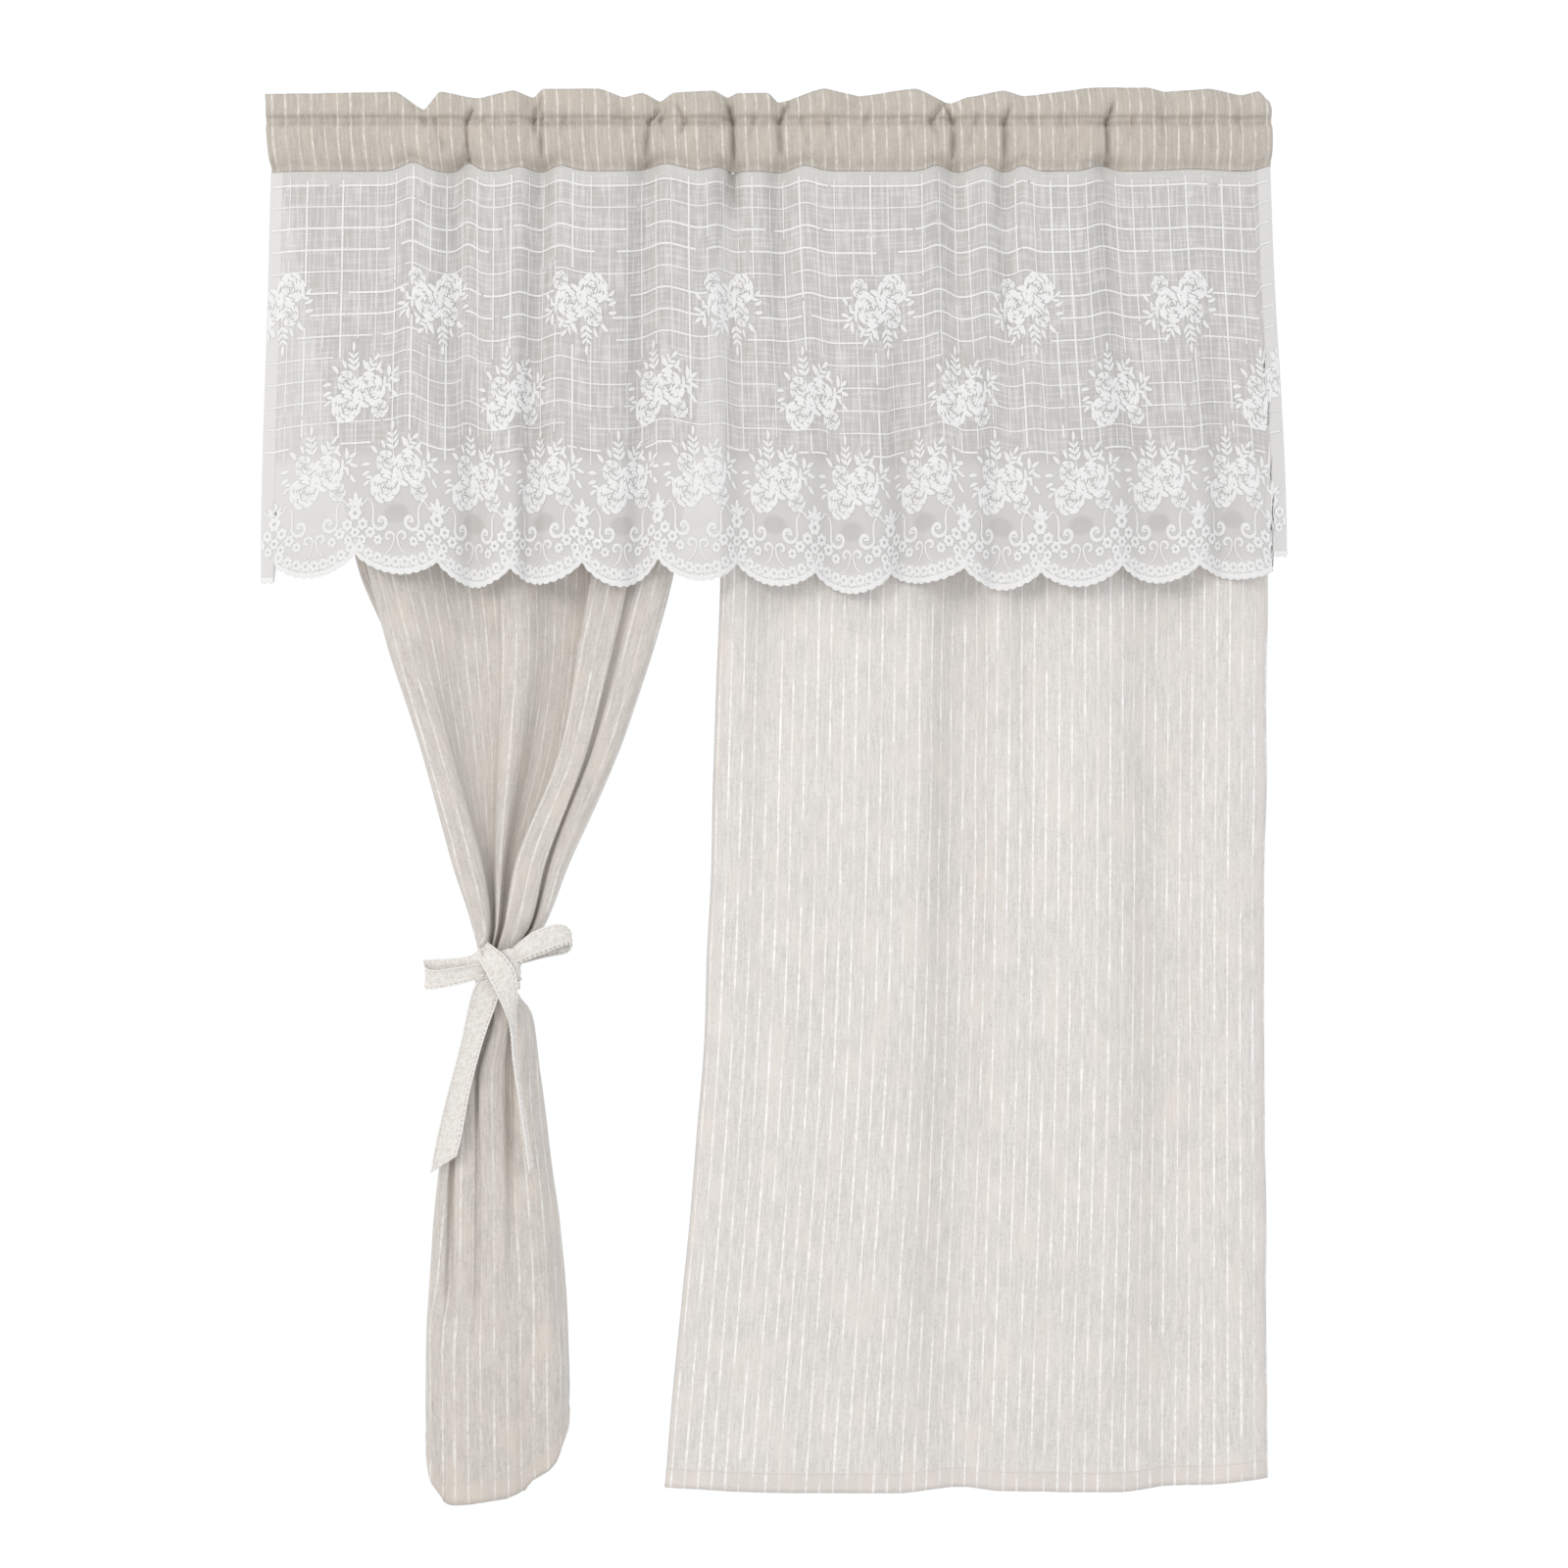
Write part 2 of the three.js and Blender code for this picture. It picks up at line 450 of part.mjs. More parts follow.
// The heading: a doubled ruffle over a pocket that is open at both ends.
function headingGeometry(gathers) {
  const wanted = [
    ...RUFFLE_TURNS.map((r) => r.x),
    ...cornersOf(TIED_LEVELS[0]).map((c) => c[0]),
    ...cornersOf(FREE_LEVELS[0]).map((c) => c[0]),
  ].sort((a, b) => a - b);
  const stations = [wanted[0]];
  for (const x of wanted) {
    if (x - stations[stations.length - 1] >= STATION_LEAST) stations.push(x);
  }
  stations[stations.length - 1] = wanted[wanted.length - 1];
  const span = HEADING_RIGHT.stitch - HEADING_LEFT.top;
  const sections = stations.map((x) => {
    const share = (x - HEADING_LEFT.top) / span;
    const along = (level) => THREE.MathUtils.lerp(HEADING_LEFT[level], HEADING_RIGHT[level], share);
    const seam = yAt(gathers, along("seam"));
    const ruffle = ruffleAt(x);
    const stitch = ruffle.y * STITCH_FROM_RUFFLE + seam * STITCH_FROM_SEAM;
    const follow = seam * POCKET_FOLLOW;
    const half = RUFFLE / 2;
    const point = (level, y, z) => new THREE.Vector3(along(level), y, z);
    const outer = [
      point("top", ruffle.y - half, ruffle.top),
      point("stitch", stitch - half, STITCH_Z),
      ...POCKET.map((p) => point("stitch", follow - p.front, p.z)),
      point("seam", seam - SEAM_FRONT, SEAM_TOP_Z),
      point("seam", seam - SEAM_FRONT, SEAM_Z),
      point("seam", seam + SEAM_BACK, SEAM_Z),
      point("seam", seam + SEAM_BACK, SEAM_TOP_Z),
      ...[...POCKET].reverse().map((p) => point("stitch", follow + p.back, p.z)),
      point("stitch", stitch + half, STITCH_Z),
      point("top", ruffle.y + half, ruffle.top),
    ];
    const inner = [
      point("stitch", stitch * HOLLOW_FOLLOW, STITCH_Z - HOLLOW_ROOF),
      ...POCKET.map((p) => point("stitch", follow - p.front + POCKET_WALL, p.z)),
      point("seam", seam * HOLLOW_FOLLOW, SEAM_TOP_Z + HOLLOW_FLOOR),
      ...[...POCKET].reverse().map((p) => point("stitch", follow + p.back - POCKET_WALL, p.z)),
    ];
    return { outer, inner };
  });
  const outerCount = sections[0].outer.length;
  const innerCount = sections[0].inner.length;
  const ring = outerCount + innerCount;
  const vertices = sections.flatMap((s) => [...s.outer, ...s.inner].flatMap((p) => [p.x, p.y, p.z]));
  const faces = [];
  for (let s = 0; s < sections.length - 1; s += 1) {
    for (let i = 0; i < ring; i += 1) {
      const isOuter = i < outerCount;
      const first = isOuter ? 0 : outerCount;
      const count = isOuter ? outerCount : innerCount;
      const j = first + ((i - first + 1) % count);
      const [a, b, c, d] = [s * ring + i, s * ring + j, (s + 1) * ring + j, (s + 1) * ring + i];
      if (isOuter) faces.push(a, b, c, a, c, d);
      else faces.push(a, c, b, a, d, c);
    }
  }
  const flat = (points) => points.map((p) => new THREE.Vector2(p.y, p.z));
  const endFaces = (section, base, facesRight) => {
    const outline = flat(section.outer);
    const hole = flat(section.inner);
    const caps = THREE.ShapeUtils.triangulateShape(outline, [hole]);
    const all = [...outline, ...hole];
    for (const [a, b, c] of caps) {
      const area = all[b].clone().sub(all[a]).cross(all[c].clone().sub(all[a]));
      const turned = area > 0 !== facesRight;
      faces.push(base + a, base + (turned ? c : b), base + (turned ? b : c));
    }
  };
  endFaces(sections[0], 0, false);
  endFaces(sections[sections.length - 1], (sections.length - 1) * ring, true);
  return closedGeometry(vertices, faces);
}

// The height of the lace's lower edge at a distance along its flat width.
function laceLow(along) {
  const count = along / LACE_SCALLOP;
  const i = THREE.MathUtils.clamp(Math.floor(count), 0, SCALLOPS.length - 1);
  if (count < 0) return LACE_LEFT_CORNER_Z;
  if (count >= SCALLOPS.length) return LACE_RIGHT_CORNER_Z;
  const before = i === 0 ? LACE_LEFT_CORNER_Z : SCALLOPS[i - 1].cusp;
  const { low, cusp } = SCALLOPS[i];
  const t = count - i;
  const belly = Math.sin(Math.PI * t) ** SCALLOP_FULLNESS;
  return THREE.MathUtils.lerp(before, cusp, t) + (low - (before + cusp) / 2) * belly;
}

// The lace's columns, as shares of its width: its scallops' own and one at each gather of the seam.
function laceShares(top) {
  const width = LACE_SCALLOP * SCALLOPS.length + 2 * LACE_SIDE_HEM;
  const steps = Array.from({ length: SCALLOPS.length * SCALLOP_STEPS + 1 }, (_, i) => i);
  const scallops = steps.map((s) => (LACE_SIDE_HEM + (LACE_SCALLOP * s) / SCALLOP_STEPS) / width);
  const total = top[top.length - 1].used;
  const turns = top.filter((p) => p.middle).map((p) => p.used / total);
  const kept = [0, 1, ...scallops];
  for (const share of turns) {
    if (kept.every((other) => Math.abs(other - share) >= LACE_COLUMN_LEAST)) kept.push(share);
  }
  return kept.sort((a, b) => a - b).map((share) => ({ share, low: laceLow(share * width - LACE_SIDE_HEM) }));
}

// The lace valance, gathered like the seam at its top and in its own folds at its scalloped edge.
function laceGeometry(gathers) {
  const top = measured(gathers);
  const low = measured(roundedLine(LACE_TURNS.map((turn) => [turn.x, turn.y]), GATHER_STEPS));
  const columns = laceShares(top);
  const rows = [...LACE_ROWS, null].map((height) =>
    columns.map((column) => {
      const z = height ?? column.low;
      const given = THREE.MathUtils.smoothstep(-z, -LACE_ROWS[0], -LACE_BLEND_END);
      const cleared = LACE_CLEAR * THREE.MathUtils.smoothstep(LACE_ROWS[0] - z, 0, LACE_CLEAR_HEIGHT);
      const [above, below] = [spotAt(top, column.share), spotAt(low, column.share)];
      return {
        x: THREE.MathUtils.lerp(above.x, below.x, given),
        y: THREE.MathUtils.lerp(above.y + LACE_SEAM_Y - cleared, below.y, given),
        z,
      };
    }),
  );
  return sheetGeometry(
    rows.map((row) => offsetSection(row, LACE / 2)),
    rows.map((row) => offsetSection(row, -LACE / 2)),
  );
}

// A flat ribbon through stations that give both of its edges, the thickness across it.
function ribbonGeometry(stations, thickness) {
  const spots = stations.map(({ one, two }) => [new THREE.Vector3(...one), new THREE.Vector3(...two)]);
  const middles = spots.map(([one, two]) => one.clone().lerp(two, 0.5));
  const offsets = spots.map(([one, two], i) => {
    const along = middles[Math.min(i + 1, spots.length - 1)].clone().sub(middles[Math.max(i - 1, 0)]);
    return along.cross(two.clone().sub(one)).normalize().multiplyScalar(thickness / 2);
  });
  const shifted = (side) =>
    spots.map((pair, i) => pair.map((p) => p.clone().addScaledVector(offsets[i], side)));
  return sheetGeometry(shifted(1), shifted(-1));
}

// The band: a ring with a rounded rectangle's outline, open at top and bottom.
function bandGeometry() {
  const around = Array.from({ length: BAND_STEPS }, (_, i) => (2 * Math.PI * i) / BAND_STEPS);
  const bent = (v) => Math.sign(v) * Math.abs(v) ** (2 / BAND_POWER);
  const ring = (extra, z) =>
    around.map((a) => [
      BAND.x + bent(Math.cos(a)) * (BAND.halfWidth + extra),
      BAND.y + bent(Math.sin(a)) * (BAND.halfDepth + extra),
      z,
    ]);
  const outside = [ring(TIE_CLOTH, BAND.low), ring(TIE_CLOTH, BAND.top)];
  const inside = [ring(0, BAND.top), ring(0, BAND.low)];
  const rings = [...outside, ...inside];
  const at = (r, i) => (r % rings.length) * BAND_STEPS + (i % BAND_STEPS);
  const faces = rings.flatMap((_ring, r) =>
    around.flatMap((_angle, i) => [
      ...[at(r, i), at(r, i + 1), at(r + 1, i + 1)],
      ...[at(r, i), at(r + 1, i + 1), at(r + 1, i)],
    ]),
  );
  return closedGeometry(rings.flat(2), faces);
}

// The knot: a squashed ball.
function knotGeometry() {
  const ball = new THREE.SphereGeometry(1, KNOT_AROUND, KNOT_UP);
  ball.scale(KNOT.halfWidth, KNOT.halfDepth, KNOT.halfHeight);
  ball.translate(KNOT.x, KNOT.y, KNOT.z);
  return ball;
}

// Joins closed geometries into one solid.
function fused(geometries) {
  const solids = geometries.map((geometry) => {
    const bare = geometry.clone();
    bare.deleteAttribute("normal");
    bare.deleteAttribute("uv");
    const merged = mergeVertices(bare, 1e-4);
    return new wasm.Manifold(
      new wasm.Mesh({
        numProp: 3,
        vertProperties: new Float32Array(merged.getAttribute("position").array),
        triVerts: new Uint32Array(merged.index.array),
      }),
    );
  });
  const mesh = solids.reduce((whole, piece) => whole.add(piece)).getMesh();
  return closedGeometry(mesh.vertProperties, [...mesh.triVerts]);
}

// A named piece of cloth with its own finish.
function clothPiece(name, geometry, color) {
  const finish = new THREE.MeshStandardMaterial({ color, roughness: 0.95, metalness: 0 });
  const piece = new THREE.Mesh(geometry, finish);
  piece.name = name;
  return piece;
}

const gathers = gatherLine();
const tiedHem = { rise: TIED_HEM_RISE, from: TIED_RISE_FROM, z: TIED_HEM_Z };
const freeHem = { rise: FREE_HEM_RISE, from: FREE_RISE_FROM, z: FREE_HEM_Z };

const curtain = new THREE.Group();
const leftPanel = panelGeometry(TIED_LEVELS, TIED_ROWS, tiedHem, TIED_STEPS);
const rightPanel = panelGeometry(FREE_LEVELS, FREE_ROWS, freeHem, FREE_STEPS);
curtain.add(clothPiece("heading", headingGeometry(gathers), "#c9c0b4"));
curtain.add(clothPiece("panel_left", leftPanel, "#dcd5cc"));
curtain.add(clothPiece("panel_right", rightPanel, "#e2ddd6"));
curtain.add(clothPiece("lace_valance", laceGeometry(gathers), "#eeeeec"));
curtain.add(
  clothPiece(
    "tie",
    fused([
      bandGeometry(),
      knotGeometry(),
      ribbonGeometry(LEFT_LOOP, TIE_CLOTH),
      ribbonGeometry(RIGHT_LOOP, TIE_CLOTH),
      ribbonGeometry(LEFT_END, TIE_CLOTH),
      ribbonGeometry(RIGHT_END, TIE_CLOTH),
    ]),
    "#e0dcd5",
  ),
);

export default curtain;
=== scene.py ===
"""A cafe curtain on a rod pocket: a ruffled linen heading, a scalloped lace valance, a linen panel
tied back with a bow and a linen panel that hangs free.

The tables are in millimetres, as the cloth was measured. MM turns them into metres. The origin is
the middle of the rod pocket, x runs along the rod, and the front of the curtain faces -y.
"""

import math

import bmesh
import bpy
import numpy as np
from mathutils import Matrix, Vector


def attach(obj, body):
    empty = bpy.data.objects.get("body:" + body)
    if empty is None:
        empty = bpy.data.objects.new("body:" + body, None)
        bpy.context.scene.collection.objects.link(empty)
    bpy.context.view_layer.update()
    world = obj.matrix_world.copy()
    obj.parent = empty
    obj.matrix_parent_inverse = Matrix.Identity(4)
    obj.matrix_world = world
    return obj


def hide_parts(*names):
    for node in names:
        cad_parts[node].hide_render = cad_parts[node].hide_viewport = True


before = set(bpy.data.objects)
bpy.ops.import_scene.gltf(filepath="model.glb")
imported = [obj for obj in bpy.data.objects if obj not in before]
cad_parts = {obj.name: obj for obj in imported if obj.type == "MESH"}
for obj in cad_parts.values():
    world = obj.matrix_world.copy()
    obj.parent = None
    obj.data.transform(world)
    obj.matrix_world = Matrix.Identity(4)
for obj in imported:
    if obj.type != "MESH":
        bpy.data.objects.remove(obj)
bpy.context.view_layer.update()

MM = 0.001
# Where the camera stands, and the width that it sees at the rod.
EYE = np.array([16.0, -3600.0, -648.0])
VIEW_WIDTH = 1600
STRIPE_PITCH = 13.5

# The tied panel. Each row is one level, and names the places of its folds from left to right: a
# spot is (x, y) and a face is (left, right, y). a, ridge, b and e face the room. recess and dip
# lie further back. The others are where the cloth turns out of sight: the loose edge and its
# turning, the cloth under a, under b, behind b, and the turned edge on the right.
TIED_WAIST = dict(
    edge=(-283, 21), inner=(-284, 16), turn=(-294, 12), a=(-292, -286.4, -20), under_a=(-286, -10),
    recess=(-284.8, -283.9, -6), ridge=(-283.4, -280.8, -14), dip=(-279.8, -278.8, -6),
    under_b=(-276, -6), b=(-277.5, -266, -22), behind_b=(-266.6, -9), tuck=(-265, -264, -7),
    e=(-263, -260, -18), turn_e=(-257.5, 12), inner_e=(-262, 17), edge_e=(-269, 21))
TIED_LEVELS = [
    dict(z=-24.4, edge=(-500, 2), inner=(-498, 1), turn=(-494, -2), a=(-484, -342, -6),
         under_a=(-330, 2), recess=(-319, -315, 9), ridge=(-297, -252, -6), dip=(-233, -229, 9),
         under_b=(-222, 2), b=(-211, -145, -7), behind_b=(-135, 1), tuck=(-126, -122, 8),
         e=(-103, -58, -6), turn_e=(-46, 3), inner_e=(-42, 5), edge_e=(-38, 7)),
    dict(z=-230, edge=(-456, 8), inner=(-440, 8), turn=(-459, 0), a=(-451, -366, -10),
         under_a=(-338, -2), recess=(-320, -300, 9), ridge=(-288, -252, -5), dip=(-232, -214, 10),
         under_b=(-190, 6), b=(-198, -147, -10), behind_b=(-150, 3), tuck=(-132, -128, 9),
         e=(-114, -76, -8), turn_e=(-65, 1), inner_e=(-90, 11), edge_e=(-72, 14)),
    dict(z=-423, edge=(-421, 9), inner=(-386, 8), turn=(-412, -2), a=(-407, -368, -11),
         under_a=(-338, -2), recess=(-318, -280, 7), ridge=(-272, -250, -4), dip=(-226, -206, 10),
         under_b=(-172, 7), b=(-184, -140, -11), behind_b=(-147, -6), tuck=(-144, -139, -5),
         e=(-130, -102, -9), turn_e=(-93, 1), inner_e=(-128, 11), edge_e=(-100, 15)),
    dict(z=-508, edge=(-386, 12), inner=(-345, 9), turn=(-390, 1), a=(-384, -354, -14),
         under_a=(-332, -1), recess=(-314, -277, 8), ridge=(-270, -246, -5), dip=(-224, -208, 11),
         under_b=(-185, 7), b=(-197, -156, -15), behind_b=(-161, -9), tuck=(-159, -155, -7),
         e=(-148, -122, -12), turn_e=(-115, 1), inner_e=(-157, 12), edge_e=(-126, 16)),
    dict(z=-608, edge=(-350, 14), inner=(-312, 10), turn=(-357, 3), a=(-352, -326, -18),
         under_a=(-318, -1), recess=(-304, -279, 9), ridge=(-273, -255, -9), dip=(-240, -224, 12),
         under_b=(-200, 8), b=(-213, -181, -19), behind_b=(-186, -12), tuck=(-184, -181, -9),
         e=(-175, -154, -15), turn_e=(-148, 2), inner_e=(-188, 13), edge_e=(-156, 17)),
    dict(z=-728, edge=(-314, 18), inner=(-290, 12), turn=(-324, 7), a=(-320, -291, -21),
         under_a=(-292, -6), recess=(-285, -280, 2), ridge=(-278, -269, -11), dip=(-266, -262, 4),
         under_b=(-252, 2), b=(-258, -224, -23), behind_b=(-229, -13), tuck=(-227, -225, -10),
         e=(-220, -207, -18), turn_e=(-201, 5), inner_e=(-231, 13), edge_e=(-212, 18)),
    dict(z=-791, edge=(-293, 21), inner=(-286, 14), turn=(-303, 10), a=(-300, -283, -21),
         under_a=(-283.5, -8), recess=(-280.5, -278.5, -4), ridge=(-277, -274, -14),
         dip=(-273, -271.5, -3), under_b=(-266, -3), b=(-269, -241, -24), behind_b=(-243, -12),
         tuck=(-241.6, -240, -10), e=(-237, -230, -19), turn_e=(-227.5, 10), inner_e=(-240, 15),
         edge_e=(-236, 20)),
    dict(z=-830, **TIED_WAIST),
    dict(z=-860, **TIED_WAIST),
    dict(z=-882, edge=(-289, 20), inner=(-286, 14), turn=(-300, 10), a=(-297, -291, -21),
         under_a=(-290.4, -12), recess=(-289, -287.4, -8), ridge=(-286.5, -283, -17),
         dip=(-281.6, -280.2, -11), under_b=(-278, -12), b=(-278, -264, -24),
         behind_b=(-264.4, -13), tuck=(-262, -259.6, -11), e=(-257, -250, -20), turn_e=(-242, 9),
         inner_e=(-250, 15), edge_e=(-256, 20)),
    dict(z=-948, edge=(-305, 18), inner=(-280, 13), turn=(-317, 8), a=(-314, -309, -22),
         under_a=(-308, -13), recess=(-305.4, -304, -10), ridge=(-302, -298, -21),
         dip=(-296.4, -295, -14), under_b=(-293, -15), b=(-292, -268, -26), behind_b=(-268, -16),
         tuck=(-265, -261, -12), e=(-257, -246, -21), turn_e=(-229, 7), inner_e=(-262, 14),
         edge_e=(-240, 20)),
    dict(z=-1038, edge=(-300, 12), inner=(-260, 8), turn=(-336, 4), a=(-333, -325, -22),
         under_a=(-324, -16), recess=(-322.6, -320, -13), ridge=(-317, -299, -24),
         dip=(-296, -293.8, -19), under_b=(-291, -20), b=(-290, -267, -28),
         behind_b=(-266.4, -21), tuck=(-263.4, -260, -18), e=(-256, -235, -24), turn_e=(-218, 9),
         inner_e=(-288, 16), edge_e=(-256, 22)),
    dict(z=-1148, edge=(-268, 11), inner=(-228, 7), turn=(-346, 3), a=(-341, -328, -23),
         under_a=(-326.4, -21), recess=(-325, -322, -19), ridge=(-318, -301, -26),
         dip=(-297, -293.4, -21), under_b=(-290.8, -23), b=(-288, -267, -29),
         behind_b=(-265, -26), tuck=(-263, -259, -24), e=(-252, -225, -25), turn_e=(-205, 9),
         inner_e=(-317, 19), edge_e=(-268, 25)),
    dict(z=-1248, edge=(-266, 10), inner=(-221, 6), turn=(-350, 2), a=(-345, -330, -25),
         under_a=(-328.4, -26), recess=(-327, -323, -27), ridge=(-318, -302, -30),
         dip=(-298, -294, -31), under_b=(-291, -31.6), b=(-288, -267, -32),
         behind_b=(-264.4, -31.8), tuck=(-262, -257, -31), e=(-248, -212, -26), turn_e=(-202, 7),
         inner_e=(-325, 19), edge_e=(-270, 25)),
    dict(z=-1379, edge=(-268, 9), inner=(-224, 5), turn=(-349, 2), a=(-343, -328, -22),
         under_a=(-326.4, -23), recess=(-325, -321, -24), ridge=(-316, -301, -26),
         dip=(-297, -293, -27), under_b=(-290, -27.6), b=(-287, -266, -28),
         behind_b=(-263, -27.6), tuck=(-261, -256, -27), e=(-248, -214, -23), turn_e=(-203, 6),
         inner_e=(-320, 18), edge_e=(-272, 24)),
]
# How far the tied panel's hem is drawn up at each of those places, and where that begins.
TIED_HEM_RISE = dict(
    edge=50, inner=48, turn=62, a=(24, 3), under_a=2, recess=(1, 0), ridge=(0, 1), dip=(2, 3),
    under_b=3, b=(4, 7), behind_b=8, tuck=(9, 11), e=(15, 44), turn_e=88, inner_e=46, edge_e=52)
TIED_RISE_FROM = -1000
TIED_HEM_Z = -1379
# Above the tie each thread stays on its fold: its distance from the flat cloth's left edge at the
# top and below the lace, and how far down the one passes into the other. Below the tie the cloth
# lies smooth on both sides of one thread of b.
TIED_THREADS = dict(a=(106, 84), ridge=(238, 222), b=(373, 370), e=(479, 503))
TIED_THREADS_PASS = (200, 480)
TIED_THREAD_BELOW = 290
TIED_PASSED = (800, 885)
TIED_WIDTH = 570

# The free panel: its loose edges, and the folds and tucks between them.
FREE_LEVELS = [
    dict(z=-24.4, edge=(-34, 7), f1=(-24, -4, -5), t1=(9, 13, 7), f2=(34, 165, -6),
         t2=(187, 191, 8), f3=(205, 228, -5), t3=(239, 243, 6), f4=(260, 327, -6),
         t4=(344, 348, 7), f5=(370, 490, -6), edge_e=(510, -2)),
    dict(z=-423, edge=(-48, 4), f1=(-40, -22, -8), t1=(4, 12, 2), f2=(40, 160, -10),
         t2=(192, 206, 12), f3=(226, 244, -8), t3=(258, 266, -1), f4=(290, 352, -10),
         t4=(392, 416, 9), f5=(446, 494, -10), edge_e=(509, -4)),
    dict(z=-850, edge=(-63, 0), f1=(-54, -34, -10), t1=(-14, -4, -6), f2=(30, 150, -13),
         t2=(190, 208, 13), f3=(236, 252, -10), t3=(268, 276, -9), f4=(296, 360, -12),
         t4=(396, 422, 11), f5=(450, 492, -11), edge_e=(506, -4)),
    dict(z=-1370, edge=(-106, -4), f1=(-98, -72, -8), t1=(-50, -40, -8), f2=(0, 140, -11),
         t2=(186, 204, 6), f3=(232, 250, -8), t3=(268, 278, -10), f4=(300, 364, -11),
         t4=(400, 420, 4), f5=(448, 490, -10), edge_e=(509, -4)),
]
FREE_HEM_RISE = dict(
    edge=5, f1=(5, 4), t1=(3, 2), f2=(1, 0), t2=(4, 4), f3=(2, 2), t3=(2, 2), f4=(1, 1), t4=(5, 6),
    f5=(9, 13), edge_e=15)
FREE_RISE_FROM = -1100
FREE_HEM_Z = -1370
FREE_WIDTH = 615

# Both panels: the flat length, the place under the heading's seam, how far down a drawn-up seam
# still pulls on the cloth, the cloth's thickness, the hems with how far they stand out, and the
# troughs along their seams.
PANEL_SEAM_Y = 1.1
SEAM_PULL = 90
LINEN = 0.8
HEM_DEPTH = 21
HEM_PROUD = 0.7
HEM_STEP = 1.5
SIDE_HEM = 9
SIDE_HEM_SHARE = 0.6
TROUGH = dict(deep=0.9, half=2.4, side_share=0.4, side_half=1.6)
# The stitches of a seam, and how far off the cloth they start.
STITCH = dict(long=3.0, gap=1.4, wide=0.55, lift=0.35)
SEWN_ON = 0.05

# A corner of a section is rounded over this share of the cloth beside it, up to this length.
ROUND_SHARE = 0.66
ROUND_SOFT = 26
ROUND_CRISP = 9

# What each panel's grid is made from: its tables, how far apart its columns and its rows lie, and
# how a corner is rounded, in how many steps.
TIED_SHAPE = dict(
    levels=TIED_LEVELS, hem_z=TIED_HEM_Z, hem_rise=TIED_HEM_RISE, rise_from=TIED_RISE_FROM,
    spacing=3.8, row_step=7.4, turn_steps=4, rounding=ROUND_CRISP)
FREE_SHAPE = dict(
    levels=FREE_LEVELS, hem_z=FREE_HEM_Z, hem_rise=FREE_HEM_RISE, rise_from=FREE_RISE_FROM,
    spacing=6, row_step=6.4, turn_steps=4, rounding=ROUND_SOFT)

# Soft unevenness of each panel, as hills (step across, step down, seed, height), and how far down
# it grows from nothing.
TIED_HILLS = [(26, 210, 11, 1.2), (60, 60, 12, 0.8)]
TIED_HILLS_GROW = (16, 96)
FREE_HILLS = [(34, 330, 21, 2.2), (80, 90, 22, 1.6), (13, 130, 23, 0.45)]
FREE_HILLS_GROW = (10, 90)
# Small gathers at the tie and under the heading: their pitch on the flat cloth, the heights of
# both, where the tie sits and how far it reaches, and where those under the heading fade.
GATHERS = dict(pitch=17, sway=4, at_tie=0.9, at_top=0.7, tie_z=-846, tie_reach=95, fade=(60, 190))

# The heading: the ruffle's turns as (x, top, y), the pocket's walls as (height, front, back) and
# the seam under it.
HEADING_ENDS = dict(top=(-513, 511), stitch=(-512, 513), seam=(-507, 512))
STITCH_Z = 28
SEAM_Z = -24
SEAM_TOP_Z = -19.5
SEAM_HALF = 2.2
RUFFLE_TURNS = [
    (-513, 55, -2), (-379, 57, -4), (-351, 41, 8), (-333, 57, -6), (-296, 52, 5),
    (-258, 58, -7), (-239, 53, 6), (-228, 60, -5), (-171, 60, -6), (-146, 53, 5),
    (-127, 56, -4), (-109, 49, 7), (-95, 56, -5), (-54, 58, -6), (-40, 53, 7),
    (-30, 56, -3), (1, 56, -4), (12, 48, 7), (58, 60, -7), (94, 54, 3),
    (152, 60, -6), (188, 47, 8), (206, 52, -2), (241, 58, -6), (262, 54, 3),
    (336, 61, -6), (388, 61, -6), (406, 58, 2), (451, 60, -5), (485, 55, 3),
    (502, 58, -3), (513, 48, 1),
]
POCKET = [(24.5, 2.4, 2.4), (21.5, 9, 9), (15, 13.5, 12.5), (4, 15.5, 14.5), (-11, 13, 12.5)]
POCKET_FOLLOW = 0.26
STITCH_FROM_RUFFLE = 0.45
STITCH_FROM_SEAM = 0.25
# The foot of the ruffle: each row's share of the ruffle's wave, how far it stands out and how high
# above the stitches it lies. The next row lies half way up, and the last one is the top edge.
RUFFLE_FOOT = [(0.0, 0.9, 0.0), (0.1, 1.6, 3.4), (0.3, 5.0, 7.0)]
RUFFLE_HALF_WAY = dict(wave=0.6, proud=3.4, raised=3)
RUFFLE_EDGE_PROUD = 1.0
HEADING_COLUMNS = 600
HEADING_CLOTH = 0.7
# How much of a gather's depth shows in the pocket's back.
BACK_PUCKER = 0.35
